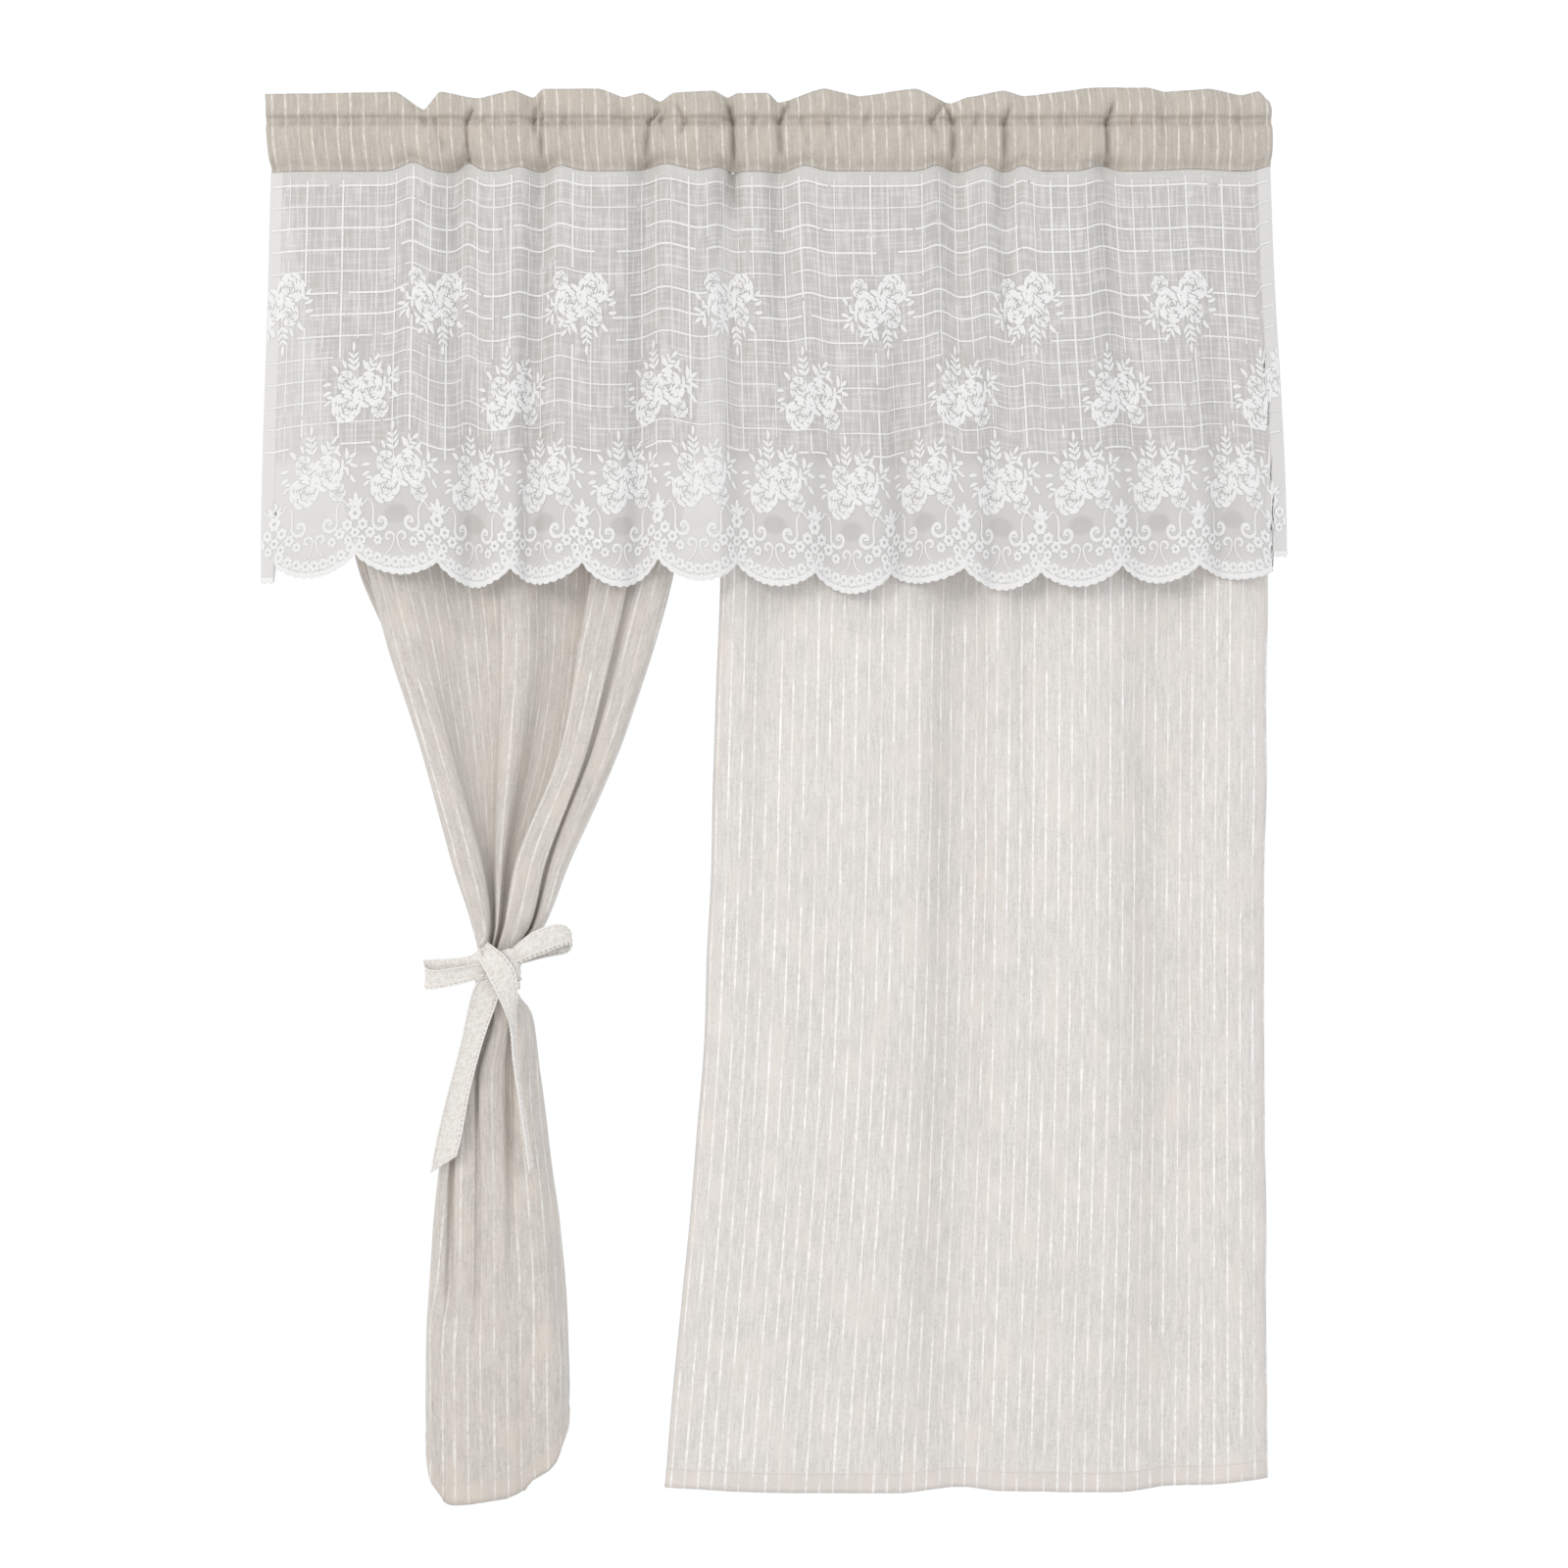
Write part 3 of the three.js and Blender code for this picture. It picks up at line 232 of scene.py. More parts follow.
# Sharp gathers across the heading: x at the stitch line, depth, half width, how far each reaches
# up and down from it, and its lean for each mm down and for each mm up.
CREASES = [
    (-351, 4, 5.0, 16, 10, 0.30, -0.7), (-340, 4, 3.4, 4, 40, 0.35, 0.2),
    (-308, 9, 3.6, 14, 56, 0.08, 0.5), (-290, 3, 4.0, 6, 40, 0.45, 0.2),
    (-240, 8, 4.2, 26, 16, 0.25, 0.4), (-231, 6, 3.0, 10, 56, 0.00, 0.3),
    (-208, 3, 5.0, 8, 30, -0.25, 0.2), (-146, 4, 5.0, 16, 20, 0.20, -0.4),
    (-122, 8, 3.6, 12, 56, -0.05, 1.0), (-110, 4, 3.0, 18, 26, 0.30, 0.6),
    (-84, 6, 4.0, 20, 18, -0.30, -0.6), (-62, 3, 4.0, 6, 34, 0.20, 0.2),
    (-36, 11, 3.6, 16, 58, 0.02, -0.25), (-14, 3, 4.0, 8, 30, -0.25, 0.2),
    (11, 9, 4.2, 20, 48, 0.05, 0.5), (34, 3, 4.0, 6, 36, 0.30, 0.2),
    (60, 4, 5.0, 8, 26, 0.20, -0.4), (100, 4, 5.0, 12, 22, -0.20, 0.5),
    (140, 3, 4.0, 6, 30, 0.35, 0.2), (166, 7, 4.2, 22, 20, 0.30, 0.7),
    (189, 9, 3.6, 18, 56, -0.03, -0.5), (212, 4, 4.0, 8, 36, -0.20, 0.2),
    (241, 8, 3.6, 14, 56, 0.00, 0.4), (268, 3, 4.0, 6, 34, 0.25, 0.2),
    (300, 3, 6.0, 10, 24, 0.15, 0.2), (345, 9, 3.6, 18, 56, 0.02, 0.4),
    (372, 3, 4.0, 6, 30, -0.20, 0.2), (404, 4, 5.0, 14, 22, -0.15, -0.5),
    (440, 3, 6.0, 8, 26, 0.10, 0.2), (480, 4, 5.0, 14, 20, 0.10, 0.3),
]
# Where the seam under the pocket is drawn up by a gather: x, height and half width.
SEAM_PEAKS = [
    (-362, 9, 15), (-306, 9, 11), (-253, 5, 13), (-212, 6, 15), (-106, 8, 24), (-51, 5, 12),
    (37, 6, 15), (173, 7, 13), (220, 6, 13), (259, 6, 11), (340, 7, 15), (430, 2, 30), (513, 6, 14),
]

# The lace valance: its flat measures, and its lower edge as hung, as (x, y) where the folds turn.
LACE_SCALLOP = 96
LACE_SIDE_HEM = 18
LACE_TOP_Z = -24.4
LACE_SEAM_Y = -2.7
LACE_CLEAR = 6
LACE_CLEAR_HEIGHT = 50
LACE_BLEND_END = -420
LACE_CUSP = 398
LACE_LOW = 420
LACE_TURNS = [
    (-516, -13), (-498, -20), (-440, -26), (-345, -31), (-318, -27), (-303, -13), (-296, -12),
    (-280, -26), (-256, -30), (-246, -16), (-238, -14), (-224, -28), (-150, -32), (-134, -18),
    (-126, -17), (-108, -30), (-50, -32), (-28, -17), (-18, -17), (6, -31), (40, -30),
    (62, -18), (72, -18), (94, -32), (118, -30), (136, -14), (146, -14), (164, -31),
    (212, -29), (228, -17), (238, -17), (260, -31), (350, -31), (378, -16), (392, -16),
    (412, -30), (442, -30), (460, -15), (468, -15), (486, -27), (527, -17),
]
# Each scallop as hung: the height of its lowest point and of the cusp on its right.
SCALLOPS = [
    (-438, -413), (-434, -421), (-447, -427), (-444, -421), (-447, -417), (-441, -422),
    (-446, -431), (-454, -433), (-443, -427), (-450, -431), (-447, -424), (-443, -424),
    (-439, -430),
]
LACE_LEFT_STRIP_Z = -443
LACE_LEFT_CORNER_Z = -425
LACE_RIGHT_CORNER_Z = -416
SCALLOP_FULLNESS = 0.7
# The plain net beside the scallops reaches down this share of a scallop's drop.
LACE_SIDE_EDGE = 0.8
LACE_WIDTH = LACE_SCALLOP * len(SCALLOPS) + 2 * LACE_SIDE_HEM
LACE_REPEAT = 2 * LACE_SCALLOP
LACE_COLUMNS = 430
LACE_ROWS = 90
LACE_HEM_BEHIND = 0.7
# The gap between the panels, where the lace's top stands back with nothing behind it.
LACE_GAP = dict(x=-36, half=4, back=9, fade=(22, 60))
# The open ground between a bunch and the scrolls: its height on the lace and its half axes.
LACE_WINDOW = dict(v=360, wide=15, high=10)

# The lace's figures, in mm on the flat lace with y down. A rose is rings of curved petals, each
# row a ring: petals, distance out, sweep, width and lift, for a rose of radius 1.
ROSE_RINGS = [
    (7, 0.88, 0.88, 0.31, 0.8), (6, 0.63, 1.02, 0.27, 1.0), (4, 0.41, 1.45, 0.23, 1.2),
    (3, 0.21, 1.90, 0.19, 1.3),
]
# The parts of one bunch, from its middle: roses as (x, y, radius, turn), sprays as (x, y, angle,
# pairs, length, leaf, bend) and single leaves as (x, y, angle, length).
BUNCH_ROSES = [(-13, 18, 17, 0.3), (14, 1, 18.5, 1.1), (-13, -9, 11, 0.8), (27, 21, 10, 0.2)]
BUNCH_SPRAYS = [
    (-3, -14, -1.75, 3, 26, 10, 0.05), (10, -14, -1.15, 2, 18, 9.5, 0.10),
    (-24, 6, 2.5, 1, 9, 9, 0.0), (27, 0, -0.75, 1, 12, 9, 0.1),
]
BUNCH_LEAVES = [
    (37, -12, -1.60, 12), (40, -14, -0.55, 10), (41, -8, 0.35, 10), (30, -16, -2.45, 10),
    (38, -4, 1.35, 9), (-31, -6, 3.05, 10), (-31, 2, 2.75, 10), (-23, -17, -2.3, 11),
    (42, 4, 0.9, 10), (-14, -22, -2.0, 10), (10, -20, -1.9, 11), (22, -19, -1.0, 11),
]
BUNCH_ROWS = dict(bottom=314, middle=229, upper=139)
# The scrolls beside a scallop's middle: the winding's middle, its first and last radius, how far
# it winds, whether it begins on its outer side, its steps, stroke and lift, the stem that leads to
# it, and the width of its closed eye.
SCROLLS = [
    dict(x=17.5, y=368, radii=(9.6, 1.6), wound=6.9, outer=True, steps=26, wide=4.4, lift=1.2,
         stem=[(30, 346), (27, 351), (26.3, 359)], eye=5.4),
    dict(x=8, y=384, radii=(6.4, 1.0), wound=5.4, outer=False, steps=20, wide=3.4, lift=1.1,
         stem=[(12, 401), (6.5, 397), (3, 391)], eye=0),
]
# The two rows of daisies along a scallop: their shift, height above the edge, size and turn.
EDGE_DAISIES = [(0.5, 11, 5.8, 0.7), (0.44, 5.8, 3.2, 0.4)]
EDGE_DAISY_COUNT = 9
# The lily above a cusp: its height, its leaves as (angle, length) and its two tendrils.
LILY_V = 350
LILY_LEAVES = [(-1.57, 14), (-2.4, 11), (-0.74, 11), (-2.9, 9), (-0.24, 9)]
LILY_TENDRIL = [(3, 352), (9, 350), (14, 344), (19, 345)]
# The flowers that stand above a cusp, as (x, y, size).
CUSP_DAISIES = [
    (0, 358, 7.6), (-9, 370, 6.2), (9, 370, 6.2), (0, 378, 5.6), (-18, 379, 6.0), (18, 379, 6.0),
    (-8, 386, 5.2), (8, 386, 5.2), (-27, 387, 5.2), (27, 387, 5.2),
]
# The windowpane's threads: how many stand, how far down they reach, how many lie and where, the
# clear space round a bunch, the lengths of their runs, and the gaps with the chance of each.
PANES = dict(uprights=58, foot=290, levels=13, first=15, pitch=22.5, clear=36, run=(45, 190),
             gaps=(0.5, 3, 12, 26), chances=(0.5, 0.25, 0.17, 0.08))
# The border along the scallops: steps, picots, and its three lines as (above the edge, lift).
BORDER = dict(steps=1200, picot=2.0, picot_pitch=9.6, sharp=0.7, inner=(1.6, 1.2), top=(4.6, 0.1))
# How far the raised work starts in front of the net.
WORK_LIFT = 0.25


def smooth(x, low, high):
    """0 below low, 1 above high, eased between."""
    t = np.clip((x - low) / (high - low), 0, 1)
    return t * t * (3 - 2 * t)


def hump(x, middle, half):
    """A bell of height 1, about half wide on each side."""
    return np.exp(-(((x - middle) / half) ** 2))


def wander(u, v, step_u, step_v, seed):
    """Soft uneven hills between -1 and 1, step_u wide and step_v long."""
    hills = np.random.default_rng(seed).uniform(-1, 1, (64, 64))
    a, b = np.asarray(u) / step_u + 7.3, np.asarray(v) / step_v + 3.1
    i, j = np.floor(a).astype(int), np.floor(b).astype(int)
    s, t = smooth(a - i, 0, 1), smooth(b - j, 0, 1)
    near = hills[i % 64, j % 64] * (1 - s) + hills[(i + 1) % 64, j % 64] * s
    far = hills[i % 64, (j + 1) % 64] * (1 - s) + hills[(i + 1) % 64, (j + 1) % 64] * s
    return near * (1 - t) + far * t


def uneven(u, v, rows):
    """Hills of several sizes together, each row as (step across, step down, seed, height)."""
    return sum(wander(u, v, *steps_and_seed) * height for *steps_and_seed, height in rows)


def seam_rise(x):
    """How far the seam under the pocket is drawn up at x."""
    return sum(height * hump(x, middle, half) for middle, height, half in SEAM_PEAKS)


def corners_of(level):
    """The corners of a section at one level, as rows of x and y."""
    spots = []
    for name, spot in level.items():
        if name != "z":
            spots += [spot] if len(spot) == 2 else [(spot[0], spot[2]), (spot[1], spot[2])]
    return np.array(spots, float)


def corner_numbers(level):
    """The number of each named place's first and last corner."""
    numbers, first = {}, 0
    for name, spot in level.items():
        if name != "z":
            count = len(spot) - 1
            numbers[name] = (first, first + count - 1)
            first += count
    return numbers


def rises_of(rises):
    """The hem's rise at every corner, from a table with one value or two for a name."""
    return [r for rise in rises.values() for r in (rise if isinstance(rise, tuple) else (rise,))]


def read_down(heights, values, z):
    """Values given at falling heights, read at every z along a smooth curve with no overshoot."""
    slope = np.diff(values, axis=0) / np.diff(heights)[:, None, None]
    both = slope[:-1] * slope[1:]
    total = np.where(both > 0, slope[:-1] + slope[1:], 1)
    inner = np.where(both > 0, 2 * both / total, 0)
    tangent = np.concatenate([slope[:1], inner, slope[-1:]])
    k = np.clip(np.searchsorted(-heights, -z, side="right") - 1, 0, len(heights) - 2)
    step = (heights[k + 1] - heights[k])[:, None, None]
    t = np.clip((z - heights[k])[:, None, None] / step, 0, 1)
    return (
        (2 * t**3 - 3 * t**2 + 1) * values[k]
        + (t**3 - 2 * t**2 + t) * step * tangent[k]
        + (3 * t**2 - 2 * t**3) * values[k + 1]
        + (t**3 - t**2) * step * tangent[k + 1]
    )


def section_columns(corners, spacing, turn_steps):
    """The columns of a sheet as (corner, share, is_turn), about spacing apart at the widest."""
    columns = [(0, 0.0, False)]
    last = corners.shape[1] - 1
    legs = np.linalg.norm(np.diff(corners, axis=1), axis=2).max(axis=0)
    for i in range(last):
        steps = max(1, round(legs[i] * (1 - ROUND_SHARE / 2) / spacing))
        columns += [(i, s / steps, False) for s in range(1, steps)]
        if i + 1 < last:
            columns += [(i + 1, s / turn_steps, True) for s in range(turn_steps + 1)]
    columns.append((last - 1, 1.0, False))
    return columns


def section_points(corners, columns, rounding=ROUND_SOFT):
    """The points of each row's section at the columns, with the corners rounded."""
    leg = np.diff(corners, axis=1)
    length = np.linalg.norm(leg, axis=2, keepdims=True)
    reach = np.minimum(ROUND_SHARE * length / 2, rounding) / np.maximum(length, 1e-6)
    after = corners[:, :-1] + leg * reach
    before = corners[:, 1:] - leg * reach
    after[:, 0] = corners[:, 0]
    before[:, -1] = corners[:, -1]
    points = np.empty((len(corners), len(columns), 2))
    for c, (i, t, is_turn) in enumerate(columns):
        if is_turn:
            start, end = before[:, i - 1], after[:, i]
            points[:, c] = (1 - t) ** 2 * start + 2 * t * (1 - t) * corners[:, i] + t**2 * end
        else:
            points[:, c] = after[:, i] * (1 - t) + before[:, i] * t
    return points


def column_places(columns):
    """Where each column lies, counted in corners."""
    rounded, last = ROUND_SHARE / 2, columns[-1][0]
    places = []
    for i, t, is_turn in columns:
        first, end = (0 if i == 0 else rounded), (1 if i == last else 1 - rounded)
        places.append(i + (2 * t - 1) * rounded if is_turn else i + first + (end - first) * t)
    return np.array(places)


def lengths_along(points):
    """The length of cloth used up to each point of a line, or of each row of a grid."""
    used = np.linalg.norm(np.diff(points, axis=-2), axis=-1).cumsum(axis=-1)
    return np.concatenate([np.zeros_like(used[..., :1]), used], axis=-1)


def grid_normals(points):
    """The unit normals of a grid of points, on its front where its rows run down."""
    normal = np.cross(np.gradient(points, axis=0), np.gradient(points, axis=1))
    return normal / np.maximum(np.linalg.norm(normal, axis=2, keepdims=True), 1e-9)


def raised(points, relief):
    """The grid of points with its front moved out by relief."""
    return points + grid_normals(points) * relief[..., None]


def mesh_from(bm, name):
    """The finished mesh of what bm has built."""
    mesh = bpy.data.meshes.new(name)
    bm.to_mesh(mesh)
    bm.free()
    return mesh


def add_object(name, mesh, material):
    """A smooth object in the scene, with its material."""
    mesh.shade_smooth()
    mesh.materials.append(material)
    piece = bpy.data.objects.new(name, mesh)
    bpy.context.scene.collection.objects.link(piece)
    return piece


def sheet_of_cloth(name, points, u, v, material, thickness=0.0):
    """A sheet through a grid of points, with its flat place (u, v) kept as the UV map cloth."""
    rows, columns = points.shape[:2]
    bm = bmesh.new()
    bmesh.ops.create_grid(bm, x_segments=columns - 1, y_segments=rows - 1, size=1)
    mesh = mesh_from(bm, name)
    mesh.vertices.foreach_set("co", (points * MM).reshape(-1))
    mesh.flip_normals()
    flat = np.stack(np.broadcast_arrays(u, v, points[..., 0])[:2], -1).reshape(-1, 2)
    corner = np.empty(len(mesh.loops), np.int32)
    mesh.loops.foreach_get("vertex_index", corner)
    layer = mesh.uv_layers.new(name="cloth")
    layer.data.foreach_set("uv", (flat[corner] * MM).reshape(-1))
    piece = add_object(name, mesh, material)
    if thickness:
        solid = piece.modifiers.new("thickness", "SOLIDIFY")
        solid.thickness = thickness * MM
        solid.offset = 0
    return piece


def panel_points(levels, hem_z, hem_rise, rise_from, spacing, row_step, turn_steps, rounding):
    """A hung panel's grid of points, its columns' places and its rows' lengths down the cloth."""
    heights = np.array([level["z"] for level in levels], float)
    corners = np.array([corners_of(level) for level in levels])
    columns = section_columns(corners, spacing, turn_steps)
    places = column_places(columns)
    rises = rises_of(hem_rise)
    rise = np.interp(places, np.arange(len(rises)), rises)
    rows = round((heights[0] - hem_z) / row_step)
    base = np.linspace(heights[0], hem_z, rows + 1)
    drawn = np.clip((rise_from - base) / (rise_from - hem_z), 0, 1)
    z = base[:, None] + drawn[:, None] * rise
    points = np.empty((rows + 1, len(columns), 3))
    for c, column in enumerate(columns):
        section = section_points(read_down(heights, corners, z[:, c]), [column], rounding)
        points[:, c, :2] = section[:, 0]
    near_seam = 1 - smooth(heights[0] - base, 0, SEAM_PULL)
    points[..., 2] = z + near_seam[:, None] * seam_rise(points[..., 0])
    points[..., 1] += PANEL_SEAM_Y
    return points, places, (heights[0] - base)[:, None]


def hem_relief(along, down, length):
    """How far a panel's turned hems stand out, with a trough along the seam of each."""
    edge = np.minimum(along, along[:, -1:] - along)
    seam = length - HEM_DEPTH
    side = 1 - smooth(edge, SIDE_HEM - 1, SIDE_HEM + 1)
    bottom = smooth(down, seam - HEM_STEP, seam + HEM_STEP)
    trough = hump(down, seam - HEM_STEP, TROUGH["half"])
    trough = trough + TROUGH["side_share"] * hump(edge, SIDE_HEM + 1, TROUGH["side_half"])
    return HEM_PROUD * np.maximum(bottom, SIDE_HEM_SHARE * side) - TROUGH["deep"] * trough


def tied_threads(along, places, z):
    """Which thread of the flat cloth lies at each point of the tied panel."""
    numbers = corner_numbers(TIED_LEVELS[0])
    known = {0: np.zeros(len(along)), len(places) - 1: np.full(len(along), float(TIED_WIDTH))}
    middle = {}
    gathered = smooth(-z.mean(axis=1), *TIED_THREADS_PASS)
    for name, (high, low) in TIED_THREADS.items():
        first, last = (np.abs(places - corner).argmin() for corner in numbers[name])
        middle[name] = (along[:, first] + along[:, last]) / 2
        thread = high + (low - high) * gathered
        known[first] = thread + along[:, first] - middle[name]
        known[last] = thread + along[:, last] - middle[name]
    stops = sorted(known)
    above = np.empty(along.shape)
    for first, last in zip(stops, stops[1:]):
        span = along[:, first:last + 1] - along[:, first:first + 1]
        share = span / span[:, -1:]
        above[:, first:last + 1] = (known[first][:, None] * (1 - share)
                                    + known[last][:, None] * share)
    below = TIED_THREAD_BELOW + along - middle["b"][:, None]
    passed = smooth(-z, *TIED_PASSED)
    return above * (1 - passed) + below * passed


def tied_relief(u, down, z):
    """The tied panel's small gathers and soft unevenness, which is pulled flatter at the tie."""
    near_tie = hump(z, GATHERS["tie_z"], GATHERS["tie_reach"])
    sway = GATHERS["sway"] * wander(u, down, 60, 90, 5)
    at_top = GATHERS["at_top"] * (1 - smooth(down, *GATHERS["fade"]))
    gathers = np.cos(2 * math.pi * (u + sway) / GATHERS["pitch"])
    soft = uneven(u, down, TIED_HILLS) * smooth(down, *TIED_HILLS_GROW)
    return gathers * (GATHERS["at_tie"] * near_tie + at_top) + soft * (1 - 0.75 * near_tie)


def tied_panel(material):
    """The left panel, drawn together by the tie."""
    points, places, down = panel_points(**TIED_SHAPE)
    along = lengths_along(points[..., :2])
    z = points[..., 2]
    u = tied_threads(along, places, z)
    relief = tied_relief(u, down, z) + hem_relief(along, down, down[-1, 0])
    points = raised(points, relief)
    piece = sheet_of_cloth("tied_panel", points, u, down, material, LINEN)
    work = hem_stitches("tied_panel_stitches", points, down[:, 0], material_of["stitch_thread"])
    return [piece, work]


def free_relief(u, down):
    """The free panel's soft unevenness."""
    return uneven(u, down, FREE_HILLS) * smooth(down, *FREE_HILLS_GROW)


def free_panel(material):
    """The right panel, hanging free."""
    points, _, down = panel_points(**FREE_SHAPE)
    along = lengths_along(points[..., :2])
    u = along * (FREE_WIDTH / along[:, -1:])
    points = raised(points, free_relief(u, down) + hem_relief(along, down, down[-1, 0]))
    piece = sheet_of_cloth("free_panel", points, u, down, material, LINEN)
    work = hem_stitches("free_panel_stitches", points, down[:, 0], material_of["stitch_thread"])
    return [piece, work]


def stitch_line(bm, path, out):
    """A row of stitches along a path, standing out of the cloth along out."""
    used = lengths_along(path)
    at = lambda s, rows: np.array([np.interp(s, used, rows[:, k]) for k in range(3)])
    pitch = STITCH["long"] + STITCH["gap"]
    for k in range(int(used[-1] / pitch)):
        ends = [at(k * pitch + STITCH["long"] * t, path) for t in (0, 0.5, 1)]
        normal = at(k * pitch + STITCH["long"] / 2, out)
        side = np.cross(ends[2] - ends[0], normal)
        side *= STITCH["wide"] / 2 / max(np.linalg.norm(side), 1e-9)
        made = bmesh.ops.create_grid(bm, x_segments=2, y_segments=2, size=1)
        for number, vert in enumerate(made["verts"]):
            row, column = divmod(number, 3)
            crest = STITCH["lift"] * (1, 0.45)[abs(row - 1)]
            lift = (0.0, crest, 0.0)[column]
            vert.co = Vector((ends[row] + side * (column - 1) + normal * lift) * MM)


def hem_stitches(name, points, down, material):
    """The stitches that hold a panel's bottom hem, on its front and its back."""
    row = np.abs(down - (down[-1] - HEM_DEPTH + 0.5)).argmin()
    out = grid_normals(points)[row]
    bm = bmesh.new()
    for side in (1, -1):
        stitch_line(bm, points[row] + side * out * (LINEN / 2 + SEWN_ON), side * out)
    return add_object(name, mesh_from(bm, name), material)


def gather_line():
    """The line that the heading's seam, the lace and both panels are gathered to."""
    ends = HEADING_ENDS["seam"]
    corners = np.concatenate([
        [(ends[0] - 1, 4)], corners_of(TIED_LEVELS[0]), corners_of(FREE_LEVELS[0]), [(ends[1], -1)],
    ])[None]
    return section_points(corners, section_columns(corners, 4, 6))[0]


def ruffle_at(x):
    """The height and the y of the ruffle's top edge at every x."""
    turns = np.array(RUFFLE_TURNS, float)
    k = np.clip(np.searchsorted(turns[:, 0], x) - 1, 0, len(turns) - 2)
    t = (x - turns[k, 0]) / (turns[k + 1, 0] - turns[k, 0])
    t = (0.6 * t + 0.4 * smooth(t, 0, 1))[:, None]
    spot = turns[k] * (1 - t) + turns[k + 1] * t
    return spot[:, 1], spot[:, 2]


def heading_side(x, sign):
    """One wall of the heading from its seam to the ruffle's top; sign is -1 for the front."""
    line = gather_line()
    first, last = HEADING_ENDS["stitch"]
    share = (x - first) / (last - first)
    across = {name: a + (b - a) * share for name, (a, b) in HEADING_ENDS.items()}
    top, wave = ruffle_at(x)
    rise = seam_rise(across["seam"])
    seam = np.interp(across["seam"], line[:, 0], line[:, 1])
    stitch = wave * STITCH_FROM_RUFFLE + seam * STITCH_FROM_SEAM
    follow = seam * POCKET_FOLLOW
    rows = [(across["seam"], seam + sign * SEAM_HALF, SEAM_Z + rise),
            (across["seam"], seam + sign * SEAM_HALF, SEAM_TOP_Z + rise)]
    for height, front, back in reversed(POCKET):
        low = (STITCH_Z - height) / (STITCH_Z - SEAM_TOP_Z)
        lifted = height + rise * smooth(low, 0.5, 1)
        wall = follow + sign * (front if sign < 0 else back)
        rows.append((across["stitch"] * (1 - low) + across["seam"] * low, wall, lifted))
    for part, proud, height in RUFFLE_FOOT:
        wall = stitch * (1 - part) + wave * part + sign * proud
        rows.append((across["stitch"], wall, np.full_like(x, STITCH_Z + height)))
    part, proud, lift = RUFFLE_HALF_WAY.values()
    wall = stitch * (1 - part) + wave * part + sign * proud
    rows.append((across["stitch"], wall, (STITCH_Z + top) / 2 + lift))
    rows.append((across["top"], wave + sign * RUFFLE_EDGE_PROUD, top))
    return smooth_rows(np.array([np.stack(row, -1) for row in rows]), 3)


def smooth_rows(rows, steps):
    """More rows on a smooth line through the given ones, steps from one to the next."""
    padded = np.concatenate([2 * rows[:1] - rows[1:2], rows, 2 * rows[-1:] - rows[-2:-1]])
    made = []
    for p0, p1, p2, p3 in zip(padded, padded[1:], padded[2:], padded[3:]):
        for s in range(steps):
            t = s / steps
            made.append(0.5 * (2 * p1 + (p2 - p0) * t + (2 * p0 - 5 * p1 + 4 * p2 - p3) * t**2
                               + (3 * p1 - p0 - 3 * p2 + p3) * t**3))
    made.append(rows[-1])
    return np.array(made)


def pucker(wall, reach):
    """Presses the heading's gathers into one of its walls: in full along the stitches and in the
    ruffle, only the share reach of their depth in the pocket, and shallower at the seam."""
    x, z = wall[..., 0].copy(), wall[..., 2].copy()
    above, below = np.maximum(z - STITCH_Z, 0), np.maximum(STITCH_Z - z, 0)
    near_stitch = hump(z, STITCH_Z, 10)
    share = np.where(z > STITCH_Z, 1, reach + (1 - reach) * near_stitch)
    share *= 0.3 + 0.7 * smooth(z, SEAM_Z, SEAM_Z + 16)
    for middle, depth, half, up, down, lean_down, lean_up in CREASES:
        fade = (1 - smooth(above, up * 0.5, up * 1.3)) * (1 - smooth(below, down * 0.6, down))
        line = middle + lean_down * below + lean_up * above
        wall[..., 1] += share * depth * hump(x, line, 0.7 * half) * fade
    # Fine crumples lean with the gathers, and stand upright along the stitches.
    crumpled = 1.1 * wander(x + 0.35 * below - 0.6 * above, z, 14, 30, 31)
    crumpled = crumpled + 0.9 * wander(x - 0.2 * z, z, 6, 24, 33)
    wall[..., 1] += crumpled * (1 - near_stitch) + 1.3 * wander(x, z, 6, 26, 32) * near_stitch


def heading(material):
    """The ruffle and the pocket: one doubled cloth, with its stitches."""
    x = np.linspace(*HEADING_ENDS["stitch"], HEADING_COLUMNS)
    front, back = heading_side(x, -1), heading_side(x, 1)
    pucker(front, 1.0)
    pucker(back, BACK_PUCKER)
    points = np.concatenate([back, front[::-1]])
    across = lengths_along(front)[len(front) // 2]
    down = lengths_along(points.transpose(1, 0, 2)).mean(axis=0)[:, None]
    piece = sheet_of_cloth("heading_cloth", points, across, down, material, HEADING_CLOTH)
    work = heading_stitches(front, back)
    return [piece, work]


def heading_stitches(front, back):
    """The stitches between the ruffle and the pocket, on the front and on the back."""
    bm = bmesh.new()
    for wall, sign in ((front, -1), (back, 1)):
        row = np.abs(wall[..., 2].mean(axis=1) - STITCH_Z).argmin()
        out = sign * grid_normals(wall)[row]
        stitch_line(bm, wall[row] + out * (HEADING_CLOTH / 2 + SEWN_ON), out)
    mesh = mesh_from(bm, "heading_stitches")
    return add_object("heading_stitches", mesh, material_of["stitch_thread"])


